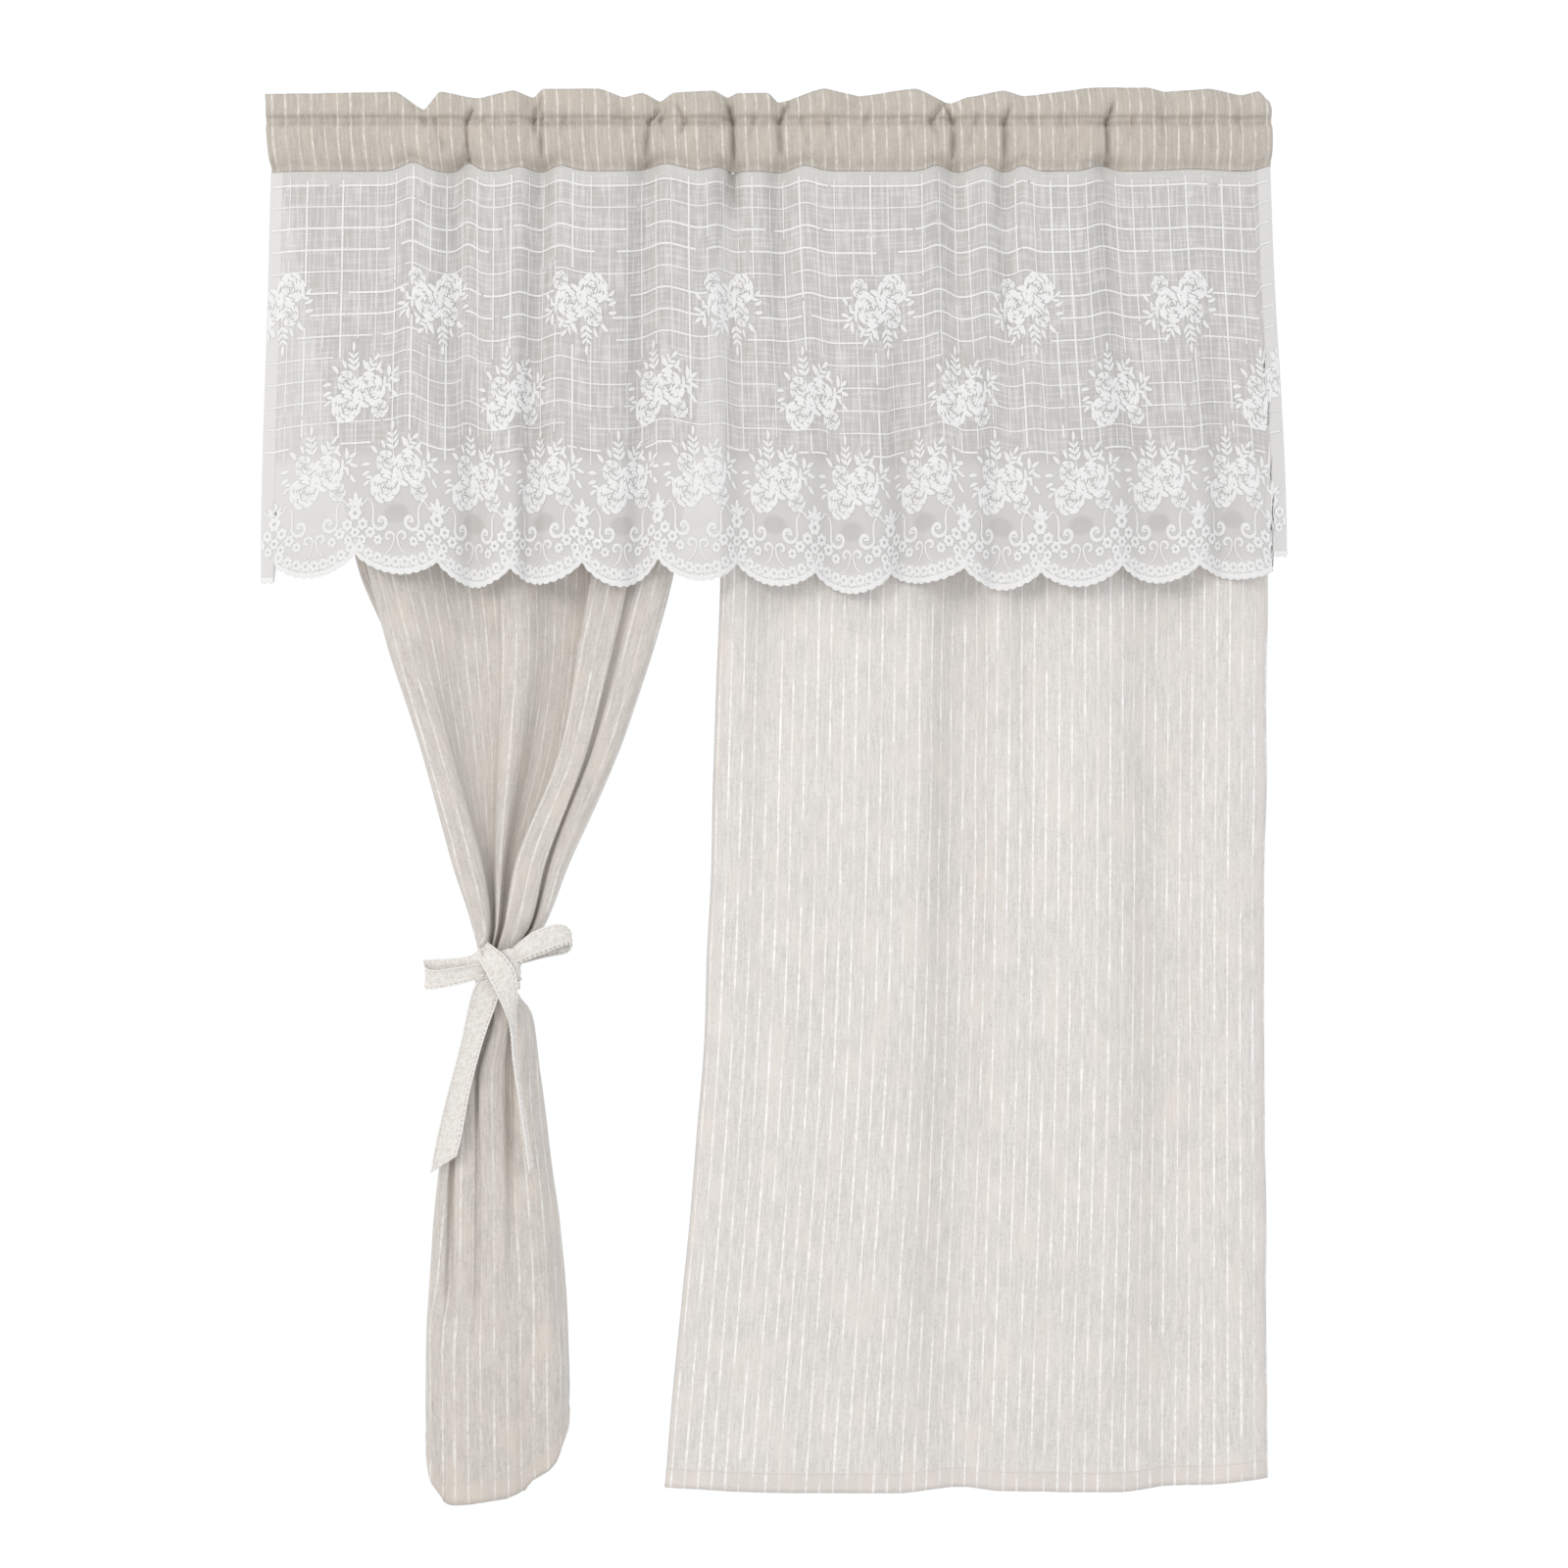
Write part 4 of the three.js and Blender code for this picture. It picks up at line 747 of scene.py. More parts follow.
class HungLace:
    """The lace as hung: where a place (u, v) of its flat cloth lies."""

    def __init__(self):
        self.above = self.measured(gather_line())
        corners = np.array(LACE_TURNS, float)[None]
        self.below = self.measured(section_points(corners, section_columns(corners, 4, 6))[0])

    @staticmethod
    def measured(line):
        """The line, and the share of its length that is used up to each of its points."""
        used = lengths_along(line)
        return used / used[-1], line

    @staticmethod
    def spot(measured, share):
        """The place on a measured line where that share of its length is used up."""
        used, line = measured
        return np.stack([np.interp(share, used, line[:, k]) for k in (0, 1)], -1)

    @staticmethod
    def flat_edge(u):
        """The flat cloth's length down to its scalloped edge."""
        t = (np.asarray(u, float) - LACE_SIDE_HEM) / LACE_SCALLOP
        inside = (t > 0) & (t < len(SCALLOPS))
        belly = np.sin(math.pi * (t % 1)) ** SCALLOP_FULLNESS
        return LACE_CUSP + (LACE_LOW - LACE_CUSP) * np.where(inside, belly, LACE_SIDE_EDGE)

    @staticmethod
    def hung_edge(u):
        """The height of the lower edge as it hangs."""
        t = (np.asarray(u, float) - LACE_SIDE_HEM) / LACE_SCALLOP
        k = np.clip(np.floor(t).astype(int), 0, len(SCALLOPS) - 1)
        lows = np.array([low for low, cusp in SCALLOPS], float)
        cusps = np.array([LACE_LEFT_CORNER_Z] + [cusp for low, cusp in SCALLOPS], float)
        s = np.clip(t - k, 0, 1)
        straight = cusps[k] * (1 - s) + cusps[k + 1] * s
        belly = np.sin(math.pi * s) ** SCALLOP_FULLNESS
        z = straight + (lows[k] - (cusps[k] + cusps[k + 1]) / 2) * belly
        z = np.where(t < 0, LACE_LEFT_STRIP_Z, z)
        return np.where(t > len(SCALLOPS), LACE_RIGHT_CORNER_Z, z)

    def at(self, u, v):
        """The place of (u, v) as the lace hangs."""
        u, v = np.broadcast_arrays(np.asarray(u, float), np.asarray(v, float))
        inside = np.clip(u, 0, LACE_WIDTH)
        share = inside / LACE_WIDTH
        down = v / self.flat_edge(inside)
        above, below = self.spot(self.above, share), self.spot(self.below, share)
        z = LACE_TOP_Z + (self.hung_edge(inside) - LACE_TOP_Z) * down
        given = smooth(-z, -LACE_TOP_Z, -LACE_BLEND_END)
        cleared = LACE_CLEAR * smooth(LACE_TOP_Z - z, 0, LACE_CLEAR_HEIGHT)
        x = above[..., 0] * (1 - given) + below[..., 0] * given + (u - inside)
        y = (above[..., 1] + LACE_SEAM_Y - cleared) * (1 - given) + below[..., 1] * given
        gap = hump(x, LACE_GAP["x"], LACE_GAP["half"]) * (1 - smooth(v, *LACE_GAP["fade"]))
        y = y + LACE_GAP["back"] * gap
        return np.stack([x, y, z + seam_rise(above[..., 0]) * (1 - down**3)], -1)

    def lifted(self, u, v, lift):
        """The place that stands lift in front of the net."""
        across = self.at(u + 1.5, v) - self.at(u - 1.5, v)
        along = self.at(u, v + 1.5) - self.at(u, v - 1.5)
        out = np.cross(along, across)
        out /= np.maximum(np.linalg.norm(out, axis=-1, keepdims=True), 1e-9)
        return self.at(u, v) + out * np.asarray(lift)[..., None]


def lace_net(lace, material):
    """The net itself, from side to side."""
    u = np.linspace(0, LACE_WIDTH, LACE_COLUMNS)
    v = np.linspace(0, 1, LACE_ROWS)[:, None] * lace.flat_edge(u)
    net = sheet_of_cloth("lace_net", lace.at(u[None, :], v), u, v, material)
    # Light passes between the net's threads, so only the raised work casts a shadow.
    net.visible_shadow = False
    return net


def lace_side_hems(lace, material):
    """The net turned back along both sides."""
    pieces = []
    for name, first in (("lace_left_hem", 1), ("lace_right_hem", LACE_WIDTH - LACE_SIDE_HEM)):
        u = np.linspace(first, first + LACE_SIDE_HEM - 1, 7)
        v = np.linspace(0.01, 0.99, LACE_ROWS)[:, None] * lace.flat_edge(u)
        spots = lace.lifted(u[None, :] + 0 * v, v, np.full(v.shape, -LACE_HEM_BEHIND))
        pieces.append(sheet_of_cloth(name, spots, u, v, material))
        pieces[-1].visible_shadow = False
    return pieces


def stroke(bm, line, width, lift=0.6, tapered=True):
    """A raised thread along a line of (x, y) spots; a tapered one is pointed at both ends."""
    spots = [Vector(spot) for spot in line]
    last = len(spots) - 1
    made = bmesh.ops.create_grid(bm, x_segments=2, y_segments=last, size=1)["verts"]
    for number, vert in enumerate(made):
        row, column = divmod(number, 3)
        way = spots[min(row + 1, last)] - spots[max(row - 1, 0)]
        side = Vector((way.y, -way.x)).normalized() * (column - 1) * width / 2
        full = math.sin(math.pi * (0.06 + 0.88 * row / last)) ** 0.6 if tapered else 1.0
        here = spots[row] + side * full
        vert.co = (here.x, here.y, (0.1, lift * full, 0.1)[column])
    return made


def winding(x, y, radii, turns, steps):
    """A line round (x, y) that goes evenly from the first radius and angle to the second."""
    line = []
    for s in range(steps + 1):
        t = s / steps
        radius, angle = (a + (b - a) * t for a, b in (radii, turns))
        line.append((x + radius * math.cos(angle), y + radius * math.sin(angle)))
    return line


def rose(bm, x, y, radius, turn):
    """An open rose of curved petals round a closed heart."""
    for ring, (count, out, sweep, wide, lift) in enumerate(ROSE_RINGS):
        for k in range(count):
            angle = turn + 0.45 * ring + 2 * math.pi * k / count
            uneven = 1 + 0.05 * math.sin(3 * angle + turn)
            turns = (angle - sweep / 2, angle + sweep / 2)
            radii = (radius * out * uneven * 1.05, radius * out * uneven * 0.93)
            stroke(bm, winding(x, y, radii, turns, 5), radius * wide, lift)
    stroke(bm, [(x - radius * 0.07, y), (x, y), (x + radius * 0.07, y)], radius * 0.12, 1.5)


def leaf(bm, x, y, angle, long):
    """A lens-shaped leaf that starts at (x, y)."""
    way = Vector((math.cos(angle), math.sin(angle)))
    side = Vector((-way.y, way.x))
    line = [Vector((x, y)) + way * long * t + side * long * 0.25 * t * (1 - t)
            for t in (0, 0.3, 0.65, 1)]
    stroke(bm, line, long * 0.42, 1.0)


def spray(bm, x, y, angle, pairs, long, size, bend):
    """A stem with pairs of leaves and one at its tip."""
    line = [(x, y)]
    step = long / (pairs + 1)
    for k in range(pairs + 1):
        x, y = x + math.cos(angle) * step, y + math.sin(angle) * step
        line.append((x, y))
        angle += bend
        if k < pairs:
            for side in (-0.8, 0.8):
                leaf(bm, x, y, angle + side, size * (1 - 0.1 * k))
    leaf(bm, x, y, angle, size)
    stroke(bm, line, 1.2, 0.5, tapered=False)


def bunch(bm, x, y, way):
    """A bunch of roses with its leaves at (x, y), upright where way is 1 and hanging where -1."""
    before = len(bm.verts)
    for row in BUNCH_ROSES:
        rose(bm, *row)
    for row in BUNCH_SPRAYS:
        spray(bm, *row)
    for row in BUNCH_LEAVES:
        leaf(bm, *row)
    bm.verts.ensure_lookup_table()
    for vert in bm.verts[before:]:
        vert.co = (x + way * vert.co.x, y + way * vert.co.y, vert.co.z)


def daisy(bm, x, y, size, turn=0.0):
    """A small flower with six petals and an open eye."""
    for k in range(6):
        angle = turn + math.pi * k / 3
        way = Vector((math.cos(angle), math.sin(angle)))
        line = [Vector((x, y)) + way * size * t for t in (0.26, 0.65, 1.04)]
        stroke(bm, line, size * 0.95, 1.0)


def scrolls(bm, x):
    """The two large and two small scrolls under a bunch, x at the middle of the scallop."""
    for side in (-1, 1):
        for row in SCROLLS:
            middle, y = x + side * row["x"], row["y"]
            start = 0 if row["outer"] == (side > 0) else math.pi
            turns = (start, start + side * row["wound"])
            stem = [(x + side * out, down) for out, down in row["stem"]]
            line = stem + winding(middle, y, row["radii"], turns, row["steps"])
            stroke(bm, line, row["wide"], row["lift"])
            if row["eye"]:
                stroke(bm, [(middle - 2.6, y), (middle + 2.6, y)], row["eye"], 1.3)


def edge_flowers(bm, x):
    """The daisies along one scallop."""
    for k in range(EDGE_DAISY_COUNT):
        t = (k + 0.5) / EDGE_DAISY_COUNT
        edge = float(HungLace.flat_edge(x + (t - 0.5) * LACE_SCALLOP))
        for shift, above, size, turn in EDGE_DAISIES:
            daisy(bm, x + (t - shift) * LACE_SCALLOP, edge - above, size, turn * k)


def cusp_flowers(bm, x):
    """The lily and the stack of daisies between two scallops, x at the cusp."""
    for angle, long in LILY_LEAVES:
        leaf(bm, x, LILY_V, angle, long)
    for side in (-1, 1):
        stroke(bm, [(x + side * out, y) for out, y in LILY_TENDRIL], 2.4, 0.8)
    for offset, y, size in CUSP_DAISIES:
        daisy(bm, x + offset, y, size, offset)


def bunch_places():
    """The middle of every bunch on the lace, and whether it stands or hangs."""
    places = []
    for k in range(len(SCALLOPS)):
        places.append((LACE_SIDE_HEM + LACE_SCALLOP * (k + 0.5), BUNCH_ROWS["bottom"], 1))
    for k in range(len(SCALLOPS) // 2 + 1):
        places.append((LACE_SIDE_HEM + LACE_REPEAT * k, BUNCH_ROWS["upper"], -1))
        places.append((LACE_SIDE_HEM + LACE_REPEAT * (k + 0.5), BUNCH_ROWS["middle"], 1))
    return places


def broken_thread(bm, rng, start, end, place, clear_of, width):
    """A thread of the windowpane that is broken here and there, and stopped round the bunches."""
    at = start
    while at < end:
        stop = min(at + rng.uniform(*PANES["run"]), end)
        steps = max(2, int((stop - at) / 6))
        run = []
        for k in range(steps + 1):
            spot = place(at + (stop - at) * k / steps)
            blocked = any((spot[0] - x) ** 2 + (spot[1] - y) ** 2 < r * r for x, y, r in clear_of)
            if not blocked:
                run.append(spot)
            if len(run) > 2 and (blocked or k == steps):
                stroke(bm, run, width, 0.5, tapered=False)
            if blocked:
                run = []
        at = stop + rng.choice(PANES["gaps"], p=PANES["chances"])


def windowpane(bm):
    """The heavier threads that cross the net in panes."""
    rng = np.random.default_rng(42)
    clear_of = [(x, y - 4 * way, PANES["clear"]) for x, y, way in bunch_places()]
    for k in range(PANES["uprights"]):
        u = LACE_SIDE_HEM + 10 + LACE_REPEAT / 9 * k + rng.uniform(-1, 1)
        start, end = 3 + rng.uniform(0, 8), PANES["foot"] + rng.uniform(-8, 12)
        width = rng.choice([1.5, 1.9, 2.4])
        broken_thread(bm, rng, start, end, lambda s: (u, s), clear_of, width)
    for k in range(PANES["levels"]):
        v = PANES["first"] + PANES["pitch"] * k
        width = rng.choice([1.6, 1.9, 2.2])
        broken_thread(bm, rng, 4, LACE_WIDTH - 4, lambda s: (s, v), clear_of, width)


def lace_border(bm):
    """The close border along the scallops, with its picots."""
    spots = np.linspace(0, LACE_WIDTH, BORDER["steps"] + 1)
    edge = HungLace.flat_edge(spots)
    wave = np.abs(np.sin(math.pi * spots / BORDER["picot_pitch"]))
    picots = BORDER["picot"] * wave ** BORDER["sharp"]
    inner, top = BORDER["inner"], BORDER["top"]
    made = bmesh.ops.create_grid(bm, x_segments=2, y_segments=BORDER["steps"], size=1)
    for number, vert in enumerate(made["verts"]):
        row, column = divmod(number, 3)
        v = edge[row] + (picots[row], -inner[0], -top[0])[column]
        vert.co = (spots[row], v, (0.2, inner[1], top[1])[column])


def hang_on_lace(name, lace, bm, material):
    """Hangs flat lacework, (u, v, lift) at each vertex, on the lace."""
    for cut, side in ((1.0, -1), (LACE_WIDTH - 1.0, 1)):
        bmesh.ops.bisect_plane(
            bm, geom=[*bm.verts, *bm.edges, *bm.faces], plane_co=(cut, 0, 0),
            plane_no=(side, 0, 0), clear_outer=True)
    bmesh.ops.reverse_faces(bm, faces=bm.faces)
    mesh = mesh_from(bm, name)
    flat = np.empty(len(mesh.vertices) * 3, np.float32)
    mesh.vertices.foreach_get("co", flat)
    u, v, lift = flat.reshape(-1, 3).astype(float).T
    mesh.vertices.foreach_set("co", (lace.lifted(u, v, lift + WORK_LIFT) * MM).reshape(-1))
    return add_object(name, mesh, material)


def lacework(lace, material):
    """The raised work on the lace: its bunches, its scallops' figures and its windowpane."""
    bunches, figures, panes = bmesh.new(), bmesh.new(), bmesh.new()
    for place in bunch_places():
        bunch(bunches, *place)
    lace_border(figures)
    for k in range(len(SCALLOPS)):
        scrolls(figures, LACE_SIDE_HEM + LACE_SCALLOP * (k + 0.5))
        edge_flowers(figures, LACE_SIDE_HEM + LACE_SCALLOP * (k + 0.5))
    for k in range(len(SCALLOPS) + 1):
        cusp_flowers(figures, LACE_SIDE_HEM + LACE_SCALLOP * k)
    windowpane(panes)
    return [hang_on_lace("lace_bunches", lace, bunches, material),
            hang_on_lace("lace_figures", lace, figures, material),
            hang_on_lace("lace_windowpane", lace, panes, material)]


def lace_valance():
    """The sheer net with its turned sides and its raised work."""
    lace = HungLace()
    net = lace_net(lace, material_of["net"])
    work = lace_side_hems(lace, material_of["net"]) + lacework(lace, material_of["lace_thread"])
    return [net, *work]


# The tie. Each row is one station of a strip: one edge and the other as x, y, z, with x and z as
# they are seen from the front against the rod's plane.
LEFT_LOOP = [
    ((-284, -33, -831), (-284, -33, -845)), ((-298, -36, -832), (-298, -36, -848)),
    ((-318, -39, -835), (-318, -39, -853)), ((-338, -39, -838), (-338, -39, -857)),
    ((-348, -36.5, -836), (-348, -36.5, -858)), ((-351, -32.5, -829), (-350, -32.5, -856)),
    ((-347, -29, -827), (-347, -29, -852)), ((-325, -29, -826), (-325, -29, -848)),
    ((-304, -30.5, -823), (-302, -30.5, -845)), ((-294, -31, -815), (-286, -32, -840)),
]
RIGHT_LOOP = [
    ((-266, -34, -822), (-262, -34, -834)), ((-252, -37, -807), (-246, -37, -828)),
    ((-234, -39, -796), (-226, -39, -820)), ((-216, -38, -791), (-211, -38, -814)),
    ((-206, -35, -793), (-203, -35, -812)), ((-203, -31, -798), (-201, -31, -815)),
    ((-209, -28.5, -797), (-206, -28.5, -821)), ((-230, -29, -800), (-226, -29, -825)),
    ((-250, -31, -806), (-246, -31, -830)), ((-266, -33, -820), (-263, -33, -835)),
]
LEFT_END = [
    ((-290, -34, -840), (-270, -34, -848)), ((-303, -33, -862), (-275, -33, -866)),
    ((-314, -32, -912), (-290, -33, -908)), ((-328, -32, -966), (-303, -34, -956)),
    ((-339, -31, -1012), (-313, -34, -1008)), ((-345, -30, -1045), (-318, -34, -1028)),
]
# The right end starts behind the knot, crosses over it and then hangs with its edge forward.
RIGHT_END = [
    ((-296, -22, -822), (-286, -20, -810)), ((-293, -35, -830), (-280, -36, -814)),
    ((-286, -41, -844), (-268, -41, -824)), ((-279, -42, -858), (-258, -41, -840)),
    ((-272, -42, -874), (-256, -38, -860)), ((-266, -44, -890), (-258, -33, -882)),
    ((-263, -51, -905), (-258, -30, -903)), ((-260.5, -53, -934), (-257, -30, -934)),
    ((-253.5, -53.5, -980), (-250, -31, -980)), ((-245, -53.5, -1043), (-241.5, -31, -1040)),
]
KNOT_WRAP = [
    ((-280, -24, -822), (-284, -24, -838)), ((-272, -36, -818), (-276, -36, -840)),
    ((-262, -39, -816), (-265, -39, -843)), ((-254, -36, -820), (-256, -36, -847)),
    ((-251, -28, -826), (-252, -28, -849)), ((-255, -16, -832), (-256, -16, -849)),
]
# The lengths of the strip that show, each with its crown across and the depth of its creases.
BOW = [
    ("tie_left_loop", LEFT_LOOP, -1.5, 0.7), ("tie_right_loop", RIGHT_LOOP, -1.5, 0.7),
    ("tie_left_end", LEFT_END, -1.2, 0.3), ("tie_right_end", RIGHT_END, 0.8, 0.8),
    ("tie_wrap", KNOT_WRAP, 1.5, 0.8),
]
KNOT = dict(middle=(-268, -30, -834), radii=(15, 8, 12))
BAND = dict(x=-276, y=0.4, half_width=21.4, half_depth=24.6, top=-834, low=-857, power=3)
TIE_CLOTH = 1.2
TIE_WIDTH = 24
TIE_HEM = 2.0
TIE_STITCH = 5.0
TIE_ROW_STEP = 1.3
TIE_CREASES = dict(count=2.6, start=0.15)
# The columns of a strip as shares of its width, closer together at its rolled hems.
TIE_COLUMNS = np.array(
    [0, .03, .06, .09, .12, .16, .25, .37, .5, .63, .75, .84, .88, .91, .94, .97, 1])


def as_seen(stations):
    """The stations at their own depths, so that EYE sees them where they were measured."""
    lines = np.array(stations, float)
    nearer = 1 + lines[..., 1:2] / -EYE[1]
    lines[..., [0, 2]] = EYE[[0, 2]] + (lines[..., [0, 2]] - EYE[[0, 2]]) * nearer
    return lines


def even_rows(lines, step):
    """The same strip with its rows about step apart, and how far along each row lies."""
    used = lengths_along(lines.mean(axis=1))
    at = np.linspace(0, used[-1], max(2, round(used[-1] / step)) + 1)
    flat = lines.reshape(len(lines), -1)
    made = np.stack([np.interp(at, used, column) for column in flat.T], -1)
    return made.reshape(-1, *lines.shape[1:]), at


def rolled_hems(share, along):
    """The strip's rolled hems, drawn in at each stitch."""
    edge = np.minimum(share, 1 - share) * TIE_WIDTH
    stitch = 0.5 + 0.5 * np.cos(2 * math.pi * along / TIE_STITCH)
    return (1.5 - 0.9 * stitch) * hump(edge, 0.4, 1.2) - 0.8 * hump(edge, TIE_HEM, 0.8) * stitch


def tied_piece(name, points, u, v, material):
    """A length of the tie as a sheet of cloth."""
    piece = sheet_of_cloth(name, points, u, v, material, TIE_CLOTH)
    return piece


def tie_strip(name, stations, crown, creases, material):
    """One length of the tie, arched by crown across its width and creased lengthwise."""
    lines, along = even_rows(smooth_rows(as_seen(stations), 6), TIE_ROW_STEP)
    share, down = TIE_COLUMNS, along[:, None]
    points = lines[:, None, 0] * (1 - share)[:, None] + lines[:, None, 1] * share[:, None]
    arch = np.sin(math.pi * share)
    waves = np.sin(2 * math.pi * (TIE_CREASES["count"] * share + TIE_CREASES["start"]))
    soft = 0.8 * wander(share * TIE_WIDTH, down, 9, 30, 51)
    relief = (crown + creases * waves + soft) * arch + rolled_hems(share, down)
    return tied_piece(name, raised(points, relief), share * TIE_WIDTH, down, material)


def tie_band(material):
    """The strip's turn round the panel."""
    around = np.linspace(0, 2 * math.pi, 97)
    bent = lambda v: np.sign(v) * np.abs(v) ** (2 / BAND["power"])
    x = BAND["x"] + bent(np.cos(around)) * (BAND["half_width"] + TIE_CLOTH / 2)
    y = BAND["y"] + bent(np.sin(around)) * (BAND["half_depth"] + TIE_CLOTH / 2)
    z = np.linspace(BAND["top"], BAND["low"], 9)
    points = np.stack(np.broadcast_arrays(x[:, None], y[:, None], z), -1)
    along = lengths_along(points.transpose(1, 0, 2))[0]
    return tied_piece("tie_band", points, BAND["top"] - z, along[:, None], material)


def knot_core(material):
    """The crushed cloth inside the knot."""
    bm = bmesh.new()
    bmesh.ops.create_uvsphere(bm, u_segments=32, v_segments=20, radius=1)
    for vert in bm.verts:
        spot = [m + r * c for m, r, c in zip(KNOT["middle"], KNOT["radii"], vert.co)]
        vert.co = Vector(spot) * MM
    return add_object("tie_knot", mesh_from(bm, "tie_knot"), material)


def tie(material):
    """The strip of linen tied round the panel: its band, bow, free ends and knot."""
    band = tie_band(material)
    strips = [tie_strip(*row, material) for row in BOW]
    return [band, *strips, knot_core(material)]


class Maker:
    """Adds nodes to a material and joins them."""

    def __init__(self, name):
        self.material = bpy.data.materials.new(name)
        self.material.use_nodes = True
        self.tree = self.material.node_tree
        self.finish = self.tree.nodes["Principled BSDF"]

    def node(self, kind, inputs=None, **settings):
        made = self.tree.nodes.new("ShaderNode" + kind)
        for key, value in settings.items():
            setattr(made, key, value)
        for key, value in (inputs or {}).items():
            self.join(made.inputs[key], value)
        return made

    def join(self, socket, value):
        if isinstance(value, bpy.types.NodeSocket):
            self.tree.links.new(value, socket)
        else:
            socket.default_value = value

    def math(self, operation, a, b=0.0, c=0.0):
        return self.node("Math", {0: a, 1: b, 2: c}, operation=operation).outputs[0]

    def ramp(self, value, low, high, out_low=0.0, out_high=1.0):
        made = self.node("MapRange", {"Value": value, "From Min": low, "From Max": high,
                                      "To Min": out_low, "To Max": out_high},
                         interpolation_type="SMOOTHSTEP")
        return made.outputs["Result"]

    def mix(self, share, a, b):
        made = self.node("Mix", data_type="RGBA")
        for number, value in ((0, share), (6, a), (7, b)):
            self.join(made.inputs[number], value)
        return made.outputs[2]

    def noise(self, x, y, detail=2.0):
        """Uneven grey between 0 and 1, one hill for each unit of x and y."""
        place = self.node("CombineXYZ", {0: x, 1: y}).outputs[0]
        return self.node("TexNoise", {"Vector": place, "Scale": 1.0, "Detail": detail,
                                      "Roughness": 0.5}).outputs["Fac"]

    def flat_place(self):
        """The flat cloth's u and v, in metres."""
        place = self.node("UVMap", uv_map="cloth").outputs[0]
        parts = self.node("SeparateXYZ", {0: place})
        return parts.outputs[0], parts.outputs[1]

    def scaled(self, value, by):
        return self.math("MULTIPLY", value, by)

    def patches(self, u, v, wide, long, detail, low, high, out_low=0.0, out_high=1.0):
        """Uneven patches, wide and long of them to the metre, ramped from low to high."""
        grey = self.noise(self.scaled(u, wide), self.scaled(v, long), detail)
        return self.ramp(grey, low, high, out_low, out_high)

    def weave(self, u, v):
        """The grey of threads that run both ways, each uneven along its length."""
        along = self.noise(self.scaled(u, 900.0), self.scaled(v, 60.0))
        across = self.noise(self.scaled(u, 60.0), self.scaled(v, 900.0))
        return self.scaled(self.math("ADD", along, across), 0.5)

    def cloth(self, roughness=0.92, specular=0.2):
        self.finish.inputs["Roughness"].default_value = roughness
        self.finish.inputs["Specular IOR Level"].default_value = specular

    def bump(self, height, distance, strength):
        made = self.node("Bump", {"Height": height, "Distance": distance, "Strength": strength})
        self.tree.links.new(made.outputs[0], self.finish.inputs["Normal"])


# How far apart two stripes read the noise, so that each is uneven in its own way.
STRIPE_APART = 7.31


def white_stripes(m, u, v, width, faintest):
    """The linen's slubby stripes: 1 on a stripe, which fades to faintest here and there."""
    place = m.math("DIVIDE", u, STRIPE_PITCH * MM)
    number = m.math("FLOOR", place)
    across = m.math("ABSOLUTE", m.math("SUBTRACT", m.math("FRACT", place), 0.5))
    chance = m.node("TexWhiteNoise", {"W": number}, noise_dimensions="1D").outputs["Value"]
    slide = m.math("MULTIPLY_ADD", chance, 3.7, v)
    thick = m.patches(number, slide, STRIPE_APART, 45.0, 3.0, 0.25, 0.75, 0.55, 1.25)
    half = m.scaled(thick, width / STRIPE_PITCH / 2)
    line = m.math("SUBTRACT", 1.0, m.ramp(m.math("DIVIDE", across, half), 0.7, 1.3))
    beads = m.patches(number, slide, STRIPE_APART, 150.0, 1.0, 0.34, 0.62, 0.45, 1.0)
    line = m.math("MULTIPLY", line, beads)
    shown = m.patches(number, slide, STRIPE_APART, 15.0, 1.0, 0.38, 0.54, faintest, 1.0)
    return m.math("MULTIPLY", line, shown)


def hem_shade_mask(m, u, v, width, length):
    """1 on a panel's bottom hem and half of that on its side hems, where the doubled cloth is
    painted in shade.
    """
    low, soft = (length - HEM_DEPTH - 0.6) * MM, 0.6 * MM
    bottom = m.ramp(v, low, low + 2 * soft)
    middle = m.math("ABSOLUTE", m.math("SUBTRACT", u, width / 2 * MM))
    inner = (width / 2 - SIDE_HEM) * MM
    return m.math("MAXIMUM", bottom, m.ramp(middle, inner - soft, inner + soft, 0.0, 0.5))


# The linen's unevenness, as (patches to the metre across and along, detail, and the greys where
# it begins and ends, and what it ranges over).
LINEN_CLOUD = (14.0, 9.0, 3.0, 0.3, 0.7)
LINEN_MOTTLE = (420.0, 250.0, 2.0, 0.36, 0.62)
LINEN_SLUB = (430.0, 42.0, 2.0, 0.36, 0.62)
LINEN_WARMTH = (30.0, 16.0, 1.0, 0.5, 0.72, 0.0, 0.5)
LINEN_FLECKS = (620.0, 380.0, 0.0, 0.70, 0.82, 0.0, 0.4)
# What the linen's colour is multiplied by on its doubled hems, as painted shade where less light
# comes through, and where it is warmer, and the colour of its dark flecks.
DOUBLED_SHADE = (0.89, 0.865, 0.85)
WARMER = (1.0, 0.955, 0.92)
FLECK = (0.38, 0.33, 0.28, 1)


def tinted(colour, by):
    """The colour multiplied by a tint."""
    return (*(a * b for a, b in zip(colour, by)), 1)


